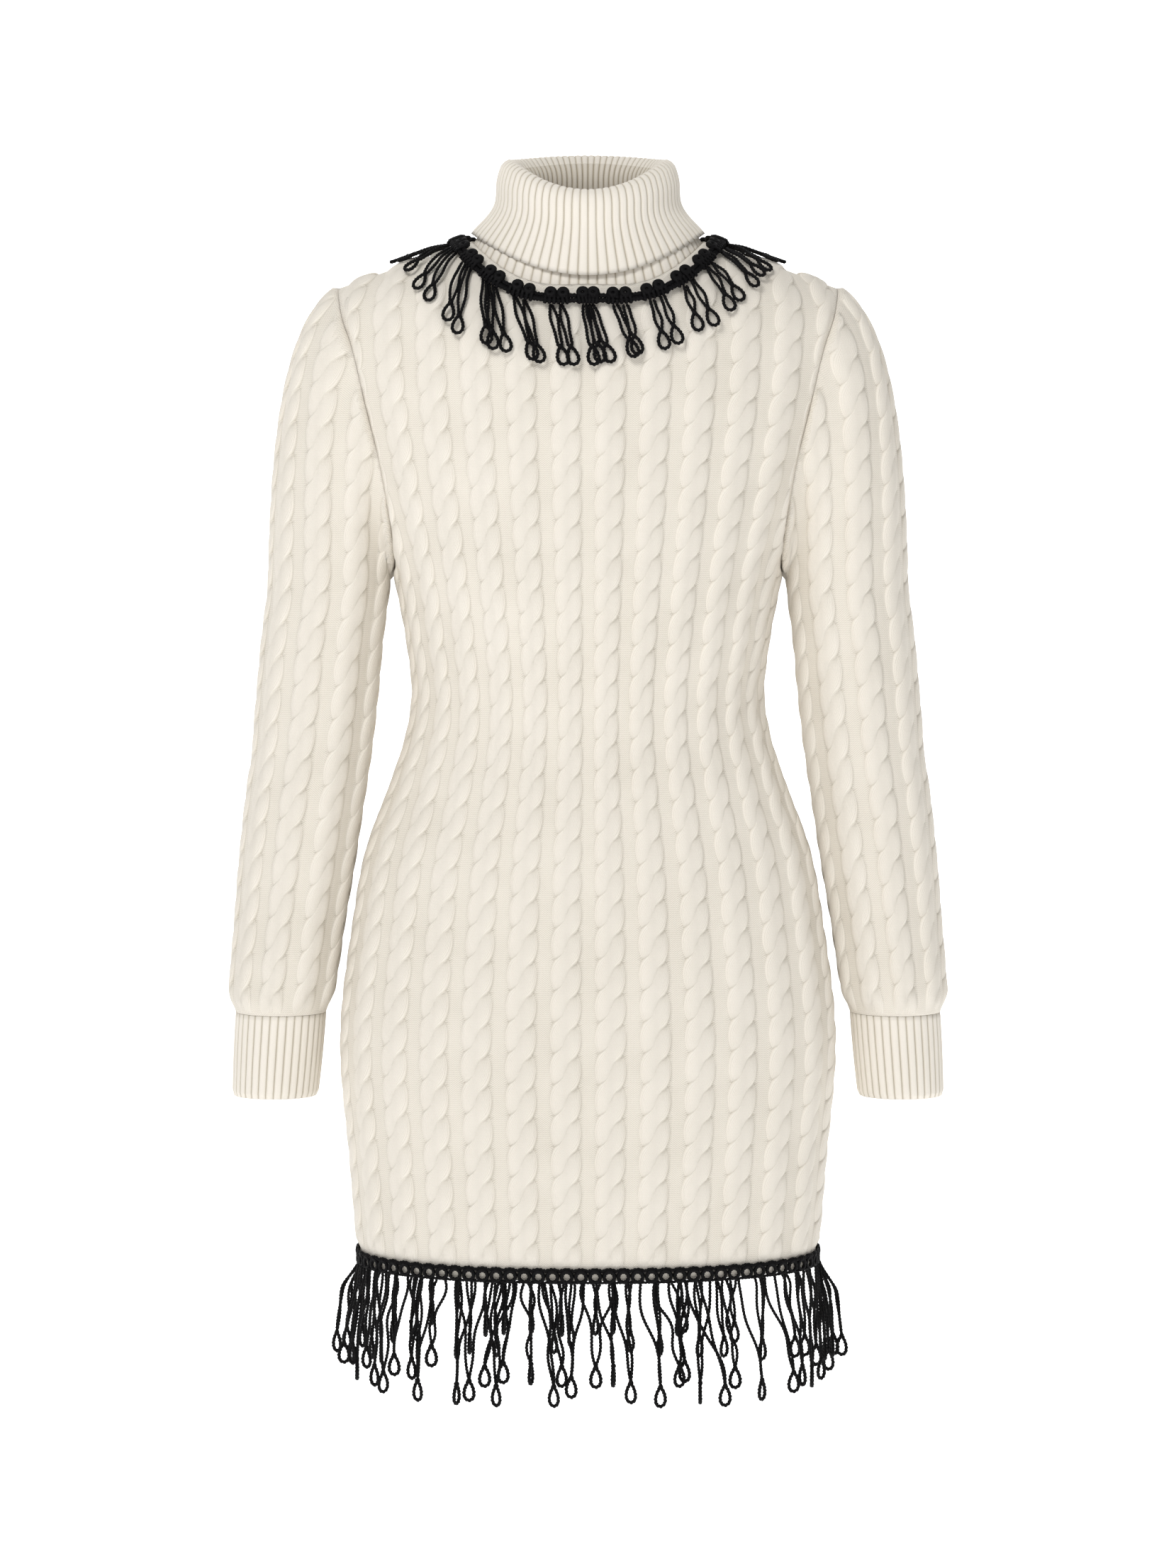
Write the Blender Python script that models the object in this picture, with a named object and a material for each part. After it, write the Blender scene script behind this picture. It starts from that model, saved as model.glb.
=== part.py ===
"""Sweater dress, filled out as it is worn: cable-knit front, back and sleeves, ribbed cuffs, a ribbed
collar turned down over itself, and crochet trims with a fringe of looped cords at the neck and the hem.

Metres, +Z up, the front faces -Y. The origin lies between the two side neck points, level with them.
"across" runs from 0 to 1 over a panel, or round a sleeve; "up" is the length of knitting above its lower
edge. Every wall is built from an outer surface with raised cables and a plain inner one.
"""
import math

import bmesh
import bpy
import numpy as np
from mathutils import Vector
from mathutils.geometry import delaunay_2d_cdt

# Sizes that drive the rest.
HEM_Z = -0.767
UNDERARM_Z = -0.250
SEAM_GAP = 0.0003
WALL = 0.0024
CABLE_RISE = 0.0030
GROOVE_RISE = 0.55      # height of the groove between two strands, as a share of the cable's
CABLE_SHARE = 0.63      # of a column's width is cable, and the rest is the purl ground between cables
CROSS_RISE = 0.92       # a groove climbs this share of a repeat from the cable's left edge to its right
BODY_COLUMNS = 14
BODY_REPEAT = 0.0246
SLEEVE_COLUMNS = 9
SLEEVE_REPEAT = 0.0255
SQUARENESS = 0.90
MERGE = 0.000005        # points this close are one
OVERRUN = 0.010         # a surface runs straight on for this much past its top edge
ARMHOLE_STEP = 0.0145   # the two walls that meet at an armhole have their points at the same places
SEAM_STEP = 0.026
NECK_STEP = 0.012
BODY_WIDTH = 0.43       # what "across" stands for in metres, where a panel or a sleeve is laid out flat
SLEEVE_WIDTH = 0.28
BORDER_MARGIN = 0.0035  # the cables' points keep this far inside a border
LINING_MARGIN = 0.008
BODY_LINING = (0.034, 0.048)    # spacing of the lining's points, across and up
SLEEVE_LINING = (0.0234, 0.055)
COLLAR_DROP = 0.0036    # the collar starts this far below the neck seam, inside it

# Half widths and half depths of the body, side seam to side seam: z, half_width, front, back.
TORSO = np.array([
    (HEM_Z, 0.1740, 0.098, 0.100),
    (-0.700, 0.1795, 0.100, 0.103),
    (-0.600, 0.1865, 0.102, 0.108),
    (-0.520, 0.1775, 0.101, 0.108),
    (-0.460, 0.1665, 0.099, 0.103),
    (-0.410, 0.1480, 0.097, 0.095),
    (-0.375, 0.1365, 0.096, 0.090),
    (-0.345, 0.1315, 0.098, 0.088),
    (-0.300, 0.1355, 0.104, 0.092),
    (UNDERARM_Z, 0.1450, 0.110, 0.098),
])
# Above the underarm the section goes on widening past the armhole: share of the height, half_width.
YOKE = np.array([
    (0.00, 0.1450),
    (0.20, 0.1600),
    (0.40, 0.1745),
    (0.60, 0.1900),
    (0.80, 0.2040),
    (0.90, 0.2120),
    (1.00, 0.2140),
])
# Half depth at the underarm, roundness of the shoulder in side view, half depth of the armhole.
SIDES = {
    "front": {"depth": 2, "roundness": 2.6, "armhole": 0.052, "turn": 1.0},
    "back": {"depth": 3, "roundness": 3.2, "armhole": 0.050, "turn": -1.0},
}
SHOULDER_TIP_X = 0.188
SHOULDER_TIP_Z = -0.033
SHOULDER_SLOPE = 0.363
NECK_SOFTEN = 0.030     # rounds the shoulder lines into each other behind the neck
ARMHOLE_ROUNDNESS = 2.3
NECK_HALF_WIDTH = 0.088
NECK_DEPTHS = {"front": 0.0805, "back": 0.066}
NECK_SQUARENESS = 2.5

# Sleeve below the underarm: z, centre_x, half_width, half_depth.
SLEEVE_TOP_Z = -0.262
SLEEVE_END_Z = -0.585
SLEEVE = np.array([
    (SLEEVE_END_Z, 0.2345, 0.0345, 0.0320),
    (-0.575, 0.2340, 0.0375, 0.0360),
    (-0.559, 0.2320, 0.0385, 0.0385),
    (-0.516, 0.2270, 0.0400, 0.0410),
    (-0.472, 0.2215, 0.0420, 0.0430),
    (-0.429, 0.2160, 0.0430, 0.0450),
    (-0.386, 0.2100, 0.0435, 0.0465),
    (-0.343, 0.2055, 0.0440, 0.0475),
    (-0.300, 0.2015, 0.0440, 0.0490),
    (SLEEVE_TOP_Z, 0.1965, 0.0440, 0.0500),
])
CAP_CROWDING = 2.0      # how far the sleeve's columns lean over the cap towards the shoulder tip
CAP_LIFT = (0.50, 0.20) # reach of the cap's curve at its lower and upper end, as shares of its chord
CAP_ARRIVAL = (-0.85, 0.0, 0.53)

CUFF_END_Z = -0.649
CUFF_RIBS = 34
CUFF_TOP = (0.2345, 0.0343, 0.0318)
CUFF_END = (0.2390, 0.0325, 0.0295)
RIB_RISE = 0.0012

COLLAR_RIBS = 72
COLLAR_COARSE = 20
# Rings of the turned collar after its base: half_width, front, back, z_front, z_side, z_back, ribbed.
COLLAR = {
    "stand_top": (0.0590, 0.0580, 0.0560, 0.026, 0.046, 0.054, False),
    "fold_under": (0.0670, 0.0655, 0.0640, 0.026, 0.046, 0.054, False),
    "layer_inside": (0.0685, 0.0680, 0.0660, 0.010, 0.029, 0.036, False),
    "edge_inside": (0.0862, 0.0798, 0.0755, -0.0240, 0.0080, 0.0125, False),
    "edge": (0.0885, 0.0822, 0.0778, -0.0245, 0.0075, 0.0120, True),
    "flare": (0.0718, 0.0712, 0.0690, 0.011, 0.030, 0.037, True),
    "roll_outside": (0.0700, 0.0690, 0.0668, 0.031, 0.051, 0.059, True),
    "roll_top": (0.0615, 0.0605, 0.0585, 0.0385, 0.0595, 0.0675, False),
    "roll_inside": (0.0530, 0.0520, 0.0505, 0.030, 0.051, 0.059, False),
}

NECK_SEGMENTS = 38
NECK_BRAID_WIDTH = 0.0100
NECK_BRAID_THICK = 0.0036
BRAID_LIFT = 0.0024
NECK_CORD = {"knot": 0.030, "loop": 0.043, "end": 0.050, "lift": 0.0068, "radius": 0.0016, "wide": 0.0034}
HEM_RINGS = 84
HEM_BAND = {"above": 0.0055, "below": 0.0060, "thick": 0.0026, "lift": 0.0011, "hole_x": 0.0028,
            "hole_z": 0.0034}
HEM_CORD_LENGTHS = (0.091, 0.076, 0.086, 0.073, 0.092, 0.079, 0.083)
HEM_LOOP = 0.0150
HEM_CORD_RADIUS = 0.0018
HEM_LOOP_RADIUS = 0.0036

IVORY = (0.86, 0.82, 0.74)
BLACK = (0.012, 0.011, 0.012)


# Curves and surfaces.

def smooth(rows, column, at):
    """A table's column at the heights given, on a smooth curve through its rows."""
    height, value = rows[:, 0], rows[:, column]
    slope = np.gradient(value, height)
    i = np.clip(np.searchsorted(height, at) - 1, 0, len(height) - 2)
    step = height[i + 1] - height[i]
    t = np.clip((at - height[i]) / step, 0, 1)
    a = (1 + 2 * t) * (1 - t) ** 2 * value[i] + t * (1 - t) ** 2 * step * slope[i]
    b = t * t * (3 - 2 * t) * value[i + 1] - t * t * (1 - t) * step * slope[i + 1]
    return a + b


def shoulder_height(x):
    """Height of the shoulder seam at a distance from the middle."""
    return SHOULDER_TIP_Z + SHOULDER_SLOPE * (SHOULDER_TIP_X - np.hypot(x, NECK_SOFTEN))


def half_section(half_width, depth, count):
    """The front half of a body section, side to side, as evenly spaced x and y."""
    angle = np.linspace(-math.pi / 2, math.pi / 2, 8 * count)
    x = half_width * np.sign(angle) * np.abs(np.sin(angle)) ** SQUARENESS
    y = -depth * np.abs(np.cos(angle)) ** SQUARENESS
    length = np.append(0, np.cumsum(np.hypot(np.diff(x), np.diff(y))))
    even = np.linspace(0, length[-1], count)
    return np.interp(even, length, x), np.interp(even, length, y)


def unit(vectors):
    return vectors / np.maximum(np.linalg.norm(vectors, axis=-1, keepdims=True), 1e-12)


def armhole_depth(z, side):
    """Half depth of the armhole at a height."""
    top = shoulder_height(SHOULDER_TIP_X)
    share = np.clip(2 * (z - UNDERARM_Z) / (top - UNDERARM_Z) - 1, -1, 1)
    return SIDES[side]["armhole"] * (1 - np.abs(share) ** ARMHOLE_ROUNDNESS) ** (1 / ARMHOLE_ROUNDNESS)


class Surface:
    """A knitted surface stored as a fine grid, read at any share across and any length up."""

    def __init__(self, points, up, closed=False):
        """points[i, j] lie at across i and at the length up[i, j]; a closed one goes all round."""
        columns = len(points)
        self.across = np.linspace(0, 1, columns)
        self.tops = up[:, -1]
        self.step = 0.004
        self.up = np.arange(up.min(), up.max() + self.step, self.step)
        normals = unit(np.cross(np.gradient(points, axis=0), np.gradient(points, axis=1)))
        if closed:
            normals[0] = normals[-1] = unit(normals[0] + normals[-1])
        raw = np.concatenate([points, normals], axis=2)
        beyond = raw[:, -1:].copy()
        length = up[:, -1:, None] - up[:, -2:-1, None]
        beyond[..., :3] += (raw[:, -1:, :3] - raw[:, -2:-1, :3]) / length * OVERRUN
        raw = np.concatenate([raw, beyond], axis=1)
        up = np.concatenate([up, up[:, -1:] + OVERRUN], axis=1)
        self.grid = np.stack([
            np.stack([np.interp(self.up, up[i], raw[i, :, k]) for k in range(6)], axis=1)
            for i in range(columns)
        ])

    def read(self, across, up):
        """Points and outward normals."""
        across, up = np.asarray(across, float), np.asarray(up, float)
        i_at = np.clip(across, 0, 1) * (len(self.across) - 1)
        j_at = np.clip((up - self.up[0]) / self.step, 0, len(self.up) - 1)
        i = np.minimum(i_at.astype(int), len(self.across) - 2)
        j = np.minimum(j_at.astype(int), len(self.up) - 2)
        s, t = (i_at - i)[..., None], (j_at - j)[..., None]
        g = self.grid
        low = g[i, j] * (1 - s) + g[i + 1, j] * s
        high = g[i, j + 1] * (1 - s) + g[i + 1, j + 1] * s
        both = low * (1 - t) + high * t
        point, normal = both[..., :3].copy(), unit(both[..., 3:])
        point[..., 2] += np.minimum(up - self.up[0], 0)
        return point, normal

    def top(self, across):
        """The length up to the surface's top edge."""
        return np.interp(across, self.across, self.tops)


def body_panel(side, columns=97):
    """The surface of the front or back, with the border lines of its armholes and neck."""
    depth_column, turn = SIDES[side]["depth"], SIDES[side]["turn"]
    below = np.linspace(HEM_Z, UNDERARM_Z, 60)
    rows = []
    for z in below:
        x, y = half_section(smooth(TORSO, 1, z), smooth(TORSO, depth_column, z), columns)
        rows.append(np.stack([x, y, np.full(columns, z)], axis=1))
    roundness = SIDES[side]["roundness"]
    depth = smooth(TORSO, depth_column, UNDERARM_Z)
    angles = np.linspace(0, math.pi / 2, 60)[1:]
    for angle in angles:
        share = math.sin(angle) ** (2 / roundness)
        inward = max(math.cos(angle), 0.0) ** (2 / roundness)
        x, y = half_section(smooth(YOKE, 1, share), depth * inward, columns)
        z = UNDERARM_Z + (shoulder_height(x) - UNDERARM_Z) * share
        rows.append(np.stack([x, y, z], axis=1))
    points = np.stack(rows, axis=1)
    lengths = np.linalg.norm(np.diff(points[:, len(below) - 1:], axis=1), axis=2)
    up = np.concatenate([
        np.tile(below - HEM_Z, (columns, 1)),
        UNDERARM_Z - HEM_Z + np.cumsum(lengths, axis=1),
    ], axis=1)
    armhole, neck = panel_borders(points, up, side, len(below) - 1)
    surface = Surface(points * (turn, turn, 1.0), up)
    return surface, spaced(spaced(armhole, surface, 0.001), surface, 0.001), neck


def panel_borders(points, up, side, first):
    """Armhole and neck edges as (across, up) rows: the armhole from the underarm up, the neck from its side."""
    across = np.linspace(0, 1, len(points))
    middle = len(points) // 2
    armhole = [(0.0, up[0, first])]
    for j in range(first + 1, points.shape[1] - 2):
        depth = -points[:middle, j, 1]
        past = depth - armhole_depth(points[:middle, j, 2], side)
        i = int(np.argmax(past > 0))
        part = past[i - 1] / (past[i - 1] - past[i])
        armhole.append((across[i - 1] + part * (across[i] - across[i - 1]),
                        up[i - 1, j] + part * (up[i, j] - up[i - 1, j])))
    tip = float(np.interp(-SHOULDER_TIP_X, points[:middle + 1, -1, 0], across[:middle + 1]))
    armhole.append((tip, float(np.interp(tip, across, up[:, -1]))))
    side_x = float(np.interp(-NECK_HALF_WIDTH, points[:middle + 1, -1, 0], across[:middle + 1]))
    neck = [(side_x, float(np.interp(side_x, across, up[:, -1])))]
    for i in range(middle + 1):
        if across[i] <= side_x + 0.002:
            continue
        x, y = np.abs(points[i, first:, 0]), np.abs(points[i, first:, 1])
        inside = (x / NECK_HALF_WIDTH) ** NECK_SQUARENESS + (y / NECK_DEPTHS[side]) ** NECK_SQUARENESS - 1
        j = int(np.argmax(inside < 0))
        part = inside[j - 1] / (inside[j - 1] - inside[j])
        rows = up[i, first:]
        neck.append((across[i], rows[j - 1] + part * (rows[j] - rows[j - 1])))
    return np.array(armhole), np.array(neck)


def spaced(line, surface, step):
    """A line of (across, up) rows, resampled to about a step on the surface."""
    points, _ = surface.read(line[:, 0], line[:, 1])
    length = np.append(0, np.cumsum(np.linalg.norm(np.diff(points, axis=0), axis=1)))
    even = np.linspace(0, length[-1], max(2, round(length[-1] / step) + 1))
    return np.stack([np.interp(even, length, line[:, k]) for k in (0, 1)], axis=1)


def mirrored(line):
    """The same line on the other half of a panel, run the other way."""
    return np.stack([1 - line[::-1, 0], line[::-1, 1]], axis=1)


# Meshes.

def cable_lattice(columns, repeat, highest):
    """Rope cables as points (across, up, height) and triangles: two strands that cross once a repeat."""
    count = int(highest / repeat) + 2
    half = CABLE_SHARE / 2
    points, faces = [], []
    for column in range(columns):
        middle = column + 0.5
        for k in range(-1, count):
            left = (k * repeat, 0.0)
            groove = ((k + CROSS_RISE / 2) * repeat, GROOVE_RISE * CABLE_RISE)
            crest = ((k + CROSS_RISE / 2 + 0.5) * repeat, CABLE_RISE)
            right = ((k + CROSS_RISE) * repeat, 0.0)
            points += [((middle - half) / columns, *left), (middle / columns, *groove),
                       (middle / columns, *crest), ((middle + half) / columns, *right)]
    rows = count + 1
    for column in range(columns):
        for k in range(rows - 1):
            a = 4 * (column * rows + k)
            left, groove, crest, right = a, a + 1, a + 2, a + 3
            next_left, next_groove, next_right = a + 4, a + 5, a + 7
            faces += [(left, groove, crest), (left, crest, next_left), (next_left, crest, next_groove),
                      (groove, right, crest), (right, next_right, crest), (crest, next_right, next_groove)]
            beside = 4 * ((column + 1) * rows + k)
            if column + 1 < columns:
                faces += [(right, beside + 4, next_right), (beside, beside + 4, right)]
    return np.array(points), np.array(faces)


def crossings(points, starts, ends):
    """True for the points inside the loops that the segments make."""
    x, y = points[:, None, 0], points[:, None, 1]
    x0, y0, x1, y1 = starts[None, :, 0], starts[None, :, 1], ends[None, :, 0], ends[None, :, 1]
    spans = (y0 > y) != (y1 > y)
    rise = np.where(y1 == y0, 1.0, y1 - y0)
    return (spans & (x < x0 + (y - y0) * (x1 - x0) / rise)).sum(axis=1) % 2 == 1


def distance_to(points, starts, ends):
    """Distance from each point to the nearest segment."""
    along = (ends - starts)[None]
    from_start = points[:, None] - starts[None]
    t = (from_start * along).sum(axis=2) / np.maximum((along ** 2).sum(axis=2), 1e-18)
    return np.linalg.norm(from_start - np.clip(t, 0, 1)[..., None] * along, axis=2).min(axis=1)


def constrained(points, edges):
    """Triangles of a constrained Delaunay triangulation, all turned the same way."""
    found = delaunay_2d_cdt([Vector(p) for p in points], edges, [], 0, 1e-9, True)
    source = [ids[0] for ids in found[3]]
    faces = np.array([[source[i] for i in face] for face in found[2]])
    a, b, c = (points[faces[:, i]] for i in range(3))
    ab, ac = b - a, c - a
    area = ab[:, 0] * ac[:, 1] - ab[:, 1] * ac[:, 0]
    faces = faces[np.abs(area) > 1e-10]
    area = area[np.abs(area) > 1e-10]
    faces[area < 0] = faces[area < 0][:, ::-1]
    return faces


def outline_edges(faces):
    """Directed edges that only one triangle has."""
    edges = np.concatenate([faces[:, [0, 1]], faces[:, [1, 2]], faces[:, [2, 0]]])
    seen = {tuple(edge) for edge in edges.tolist()}
    return np.array([edge for edge in edges.tolist() if (edge[1], edge[0]) not in seen])


def knitted_wall(name, surface, border, rims, lattice, width, fade, lining_steps, border_shift):
    """A closed wall: cables on the outside, a coarse plain inside, and a rim along the border."""
    scale = np.array([width, 1.0])
    starts = border * scale
    ends = np.roll(starts, -1, axis=0)
    points, faces = lattice
    flat = points[:, :2] * scale
    clear = crossings(flat, starts, ends) & (distance_to(flat, starts, ends) > BORDER_MARGIN)
    kept = faces[clear[faces].all(axis=1)]
    used, kept = np.unique(kept, return_inverse=True)
    kept = kept.reshape(-1, 3)
    points, flat = points[used], flat[used]
    rim = outline_edges(kept)
    count, edge_count = len(points), len(border)
    loop = count + np.arange(edge_count)
    every = np.concatenate([flat, starts])
    fixed = [tuple(edge) for edge in rim.tolist()] + list(zip(loop.tolist(), np.roll(loop, -1).tolist()))
    fill = constrained(every, fixed)
    middle = every[fill].mean(axis=1)
    fill = fill[crossings(middle, starts, ends) & ~crossings(middle, flat[rim[:, 0]], flat[rim[:, 1]])]
    place, normal = surface.read(points[:, 0], points[:, 1])
    raised = place + normal * (points[:, 2] * fade(points[:, 0], points[:, 1]))[:, None]
    edge_out, edge_in = border_shift(border)

    step_u, step_v = lining_steps[0] / width, lining_steps[1]
    grid_u = np.arange(step_u / 2, 1, step_u)
    grid_v = np.arange(step_v / 2, surface.up[-1], step_v)
    inside = np.array([(u, v) for u in grid_u for v in grid_v])
    far = crossings(inside * scale, starts, ends) & (distance_to(inside * scale, starts, ends) > LINING_MARGIN)
    inside = inside[far]
    place, normal = surface.read(inside[:, 0], inside[:, 1])
    lining = place - normal * WALL
    every = np.concatenate([inside * scale, starts])
    inner_loop = len(inside) + np.arange(edge_count)
    back = constrained(every, list(zip(inner_loop.tolist(), np.roll(inner_loop, -1).tolist())))
    back = back[crossings(every[back].mean(axis=1), starts, ends)]

    first = count + edge_count
    vertices = np.concatenate([raised, edge_out, lining, edge_in])
    a, b = loop[rims], np.roll(loop, -1)[rims]
    c, d = first + inner_loop[rims], first + np.roll(inner_loop, -1)[rims]
    triangles = np.concatenate([
        kept, fill, first + back[:, ::-1],
        np.stack([b, a, c], axis=1), np.stack([b, c, d], axis=1),
    ])
    return add_mesh(name, vertices, triangles, IVORY)


def material(name, colour, roughness):
    made = bpy.data.materials.get(name) or bpy.data.materials.new(name)
    made.use_nodes = True
    shader = made.node_tree.nodes["Principled BSDF"]
    shader.inputs["Base Color"].default_value = (*colour, 1.0)
    shader.inputs["Roughness"].default_value = roughness
    return made


def add_mesh(name, vertices, triangles, colour):
    """An object from points and triangles, with the points that coincide made one."""
    mesh = bpy.data.meshes.new(name)
    mesh.from_pydata(np.asarray(vertices).tolist(), [], np.asarray(triangles).tolist())
    shape = bmesh.new()
    shape.from_mesh(mesh)
    bmesh.ops.remove_doubles(shape, verts=shape.verts, dist=MERGE)
    shape.to_mesh(mesh)
    shape.free()
    made = bpy.data.objects.new(name, mesh)
    bpy.context.scene.collection.objects.link(made)
    mesh.materials.append(material("knit_ivory" if colour is IVORY else "crochet_black", colour, 0.9))
    return made


# Front and back.

def make_body(name, side, panel):
    surface, armhole, neck = panel
    width = BODY_WIDTH
    seam = spaced(np.array([(0.0, 0.0), (0.0, UNDERARM_Z - HEM_Z)]), surface, SEAM_STEP)
    arm = spaced(armhole, surface, ARMHOLE_STEP)
    tip, side_neck = armhole[-1, 0], neck[0, 0]
    across = np.linspace(tip, side_neck, 6)
    shoulder = np.stack([across, surface.top(across)], axis=1)
    collar_line = spaced(neck, surface, NECK_STEP)
    left = np.concatenate([seam[:-1], arm[:-1], shoulder[:-1], collar_line])
    bottom = np.stack([np.linspace(0, 1, 14), np.zeros(14)], axis=1)
    border = np.concatenate([bottom[:-1], left * (-1.0, 1.0) + (1.0, 0.0), left[-2:0:-1]])
    rims = np.arange(len(border))
    turn = SIDES[side]["turn"]
    neck_ends = np.concatenate([neck, mirrored(neck)]) * (width, 1.0)

    def fade(u, v):
        away = distance_to(np.stack([u * width, v], axis=1), neck_ends[:-1], neck_ends[1:])
        return np.clip((v - 0.007) / 0.008, 0, 1) * np.clip((away - 0.010) / 0.009, 0, 1)

    def border_shift(line):
        place, normal = surface.read(line[:, 0], line[:, 1])
        on_neck = np.array([min(abs(u - side_neck), abs(1 - u - side_neck)) < 1e-6
                            or side_neck < u < 1 - side_neck for u in line[:, 0]]) & (line[:, 1] > 0.1)
        on_hem = line[:, 1] < 1e-6
        flat = np.abs(place[:, 1]) < 1e-5
        inward = normal.copy()
        inward[flat, 1] = 0
        inward[on_hem, 2] = 0
        inward = unit(inward) * WALL
        inward[on_neck] = (0.0, 0.0, 1.2 * WALL)
        inner = place - inward
        for points in (place, inner):
            points[:, 1] = -turn * np.maximum(-turn * points[:, 1], SEAM_GAP / 2)
        return place, inner

    highest = float(surface.tops.max())
    lattice = cable_lattice(BODY_COLUMNS, BODY_REPEAT, highest)
    return knitted_wall(name, surface, border, rims, lattice, width, fade, BODY_LINING, border_shift)


# Sleeves and cuffs.

def sleeve_surface(front, back, columns=217):
    """The right sleeve: rings up to the underarm, then curves over the cap to the armhole seam."""
    share = np.linspace(0, 1, columns)
    below = np.linspace(SLEEVE_END_Z, SLEEVE_TOP_Z, 40)
    centre, wide, deep = (smooth(SLEEVE, k, below) for k in (1, 2, 3))
    turn = 2 * math.pi * share[:, None]
    rings = np.stack([centre - wide * np.cos(turn), -deep * np.sin(turn),
                      np.broadcast_to(below, (columns, len(below)))], axis=2)
    armhole = armhole_points(front, back, share)
    start = rings[:, -1]
    chord = np.linalg.norm(armhole - start, axis=1, keepdims=True)
    toward = unit(armhole - start)
    blend = np.sin(math.pi * share[:, None]) ** 2
    arrival = unit(toward * (1 - blend) + np.array(CAP_ARRIVAL) * blend)
    knots = [start, start + np.array((-0.02, 0.0, 1.0)) * chord * CAP_LIFT[0],
             armhole - arrival * chord * CAP_LIFT[1], armhole]
    weights = np.linspace(0, 1, 34)[1:]
    cap = np.stack([(1 - t) ** 3 * knots[0] + 3 * t * (1 - t) ** 2 * knots[1]
                    + 3 * t * t * (1 - t) * knots[2] + t ** 3 * knots[3] for t in weights], axis=1)
    points = np.concatenate([rings, cap], axis=1)
    lengths = np.linalg.norm(np.diff(points[:, len(below) - 1:], axis=1), axis=2)
    up = np.concatenate([np.tile(below - SLEEVE_END_Z, (columns, 1)),
                         below[-1] - SLEEVE_END_Z + np.cumsum(lengths, axis=1)], axis=1)
    return Surface(points, up, closed=True)


def armhole_points(front, back, share):
    """Points of the right armhole's seam for shares round it, from the underarm over the front."""
    halves = []
    for (surface, armhole, _), flipped in ((front, True), (back, False)):
        across = 1 - armhole[:, 0] if flipped else armhole[:, 0]
        points, _ = surface.read(across, armhole[:, 1])
        length = np.append(0, np.cumsum(np.linalg.norm(np.diff(points, axis=0), axis=1)))
        halves.append((points, length / length[-1]))
    made = []
    for s in share:
        points, along = halves[0] if s <= 0.5 else halves[1]
        part = 1 - abs(1 - 2 * s) ** CAP_CROWDING
        made.append([np.interp(part, along, points[:, k]) for k in range(3)])
    return np.array(made) + (SEAM_GAP, 0.0, 0.0)


def flipped_surface(surface):
    """The same surface on the other side of the middle."""
    other = Surface.__new__(Surface)
    other.__dict__.update(surface.__dict__)
    other.grid = surface.grid[::-1] * (-1, 1, 1, -1, 1, 1)
    other.tops = surface.tops[::-1]
    return other


def make_sleeve(name, surface, armhole_counts):
    width = SLEEVE_WIDTH
    outward = math.copysign(1.0, surface.grid[0, 0, 0])
    bottom = np.stack([np.linspace(0, 1, 17), np.zeros(17)], axis=1)
    seam = spaced(np.array([(1.0, 0.0), (1.0, surface.top(1.0))]), surface, 0.045)
    part = [np.linspace(0, 1, count + 1) for count in armhole_counts]
    front_share, back_share = ((1 - (1 - p) ** (1 / CAP_CROWDING)) / 2 for p in part)
    share = np.concatenate([1 - back_share, front_share[-2::-1]])
    share = 1 - share[::-1] if outward < 0 else share
    top = np.stack([share, surface.top(share)], axis=1)
    other_seam = seam[::-1] * (0.0, 1.0)
    border = np.concatenate([bottom[:-1], seam[:-1], top[:-1], other_seam[:-1]])
    n_bottom, n_seam, n_top = len(bottom) - 1, len(seam) - 1, len(top) - 1
    rims = np.concatenate([np.arange(n_bottom), n_bottom + n_seam + np.arange(n_top)])

    def fade(u, v):
        return np.clip((v - 0.004) / 0.006, 0, 1)

    def border_shift(edge):
        place, normal = surface.read(edge[:, 0], edge[:, 1])
        normal[edge[:, 1] < 1e-6, 2] = 0
        over = edge[:, 1] > 0.1
        normal[over, 0] = outward * np.minimum(outward * normal[over, 0], 0.2)
        return place, place - unit(normal) * WALL

    lattice = cable_lattice(SLEEVE_COLUMNS, SLEEVE_REPEAT, float(surface.tops.max()))
    return knitted_wall(name, surface, border, rims, lattice, width, fade, SLEEVE_LINING, border_shift)


def strip(lower, upper):
    """Triangles between two closed rings of point numbers, the second above the first seen from outside."""
    faces, i, j, n, m = [], 0, 0, len(lower), len(upper)
    while i < n or j < m:
        if i < n and (j == m or (i + 1) * m <= (j + 1) * n):
            faces.append((lower[i % n], lower[(i + 1) % n], upper[j % m]))
            i += 1
        else:
            faces.append((lower[i % n], upper[(j + 1) % m], upper[j % m]))
            j += 1
    return faces


def stack_rings(name, rings, colour):
    """A closed solid from rings in order round its profile."""
    vertices, numbers, faces = [], [], []
    for ring in rings:
        numbers.append(list(range(len(vertices), len(vertices) + len(ring))))
        vertices += [tuple(point) for point in ring]
    for lower, upper in zip(numbers, numbers[1:] + numbers[:1]):
        faces += strip(lower, upper)
    return add_mesh(name, np.array(vertices), np.array(faces), colour)


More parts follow.
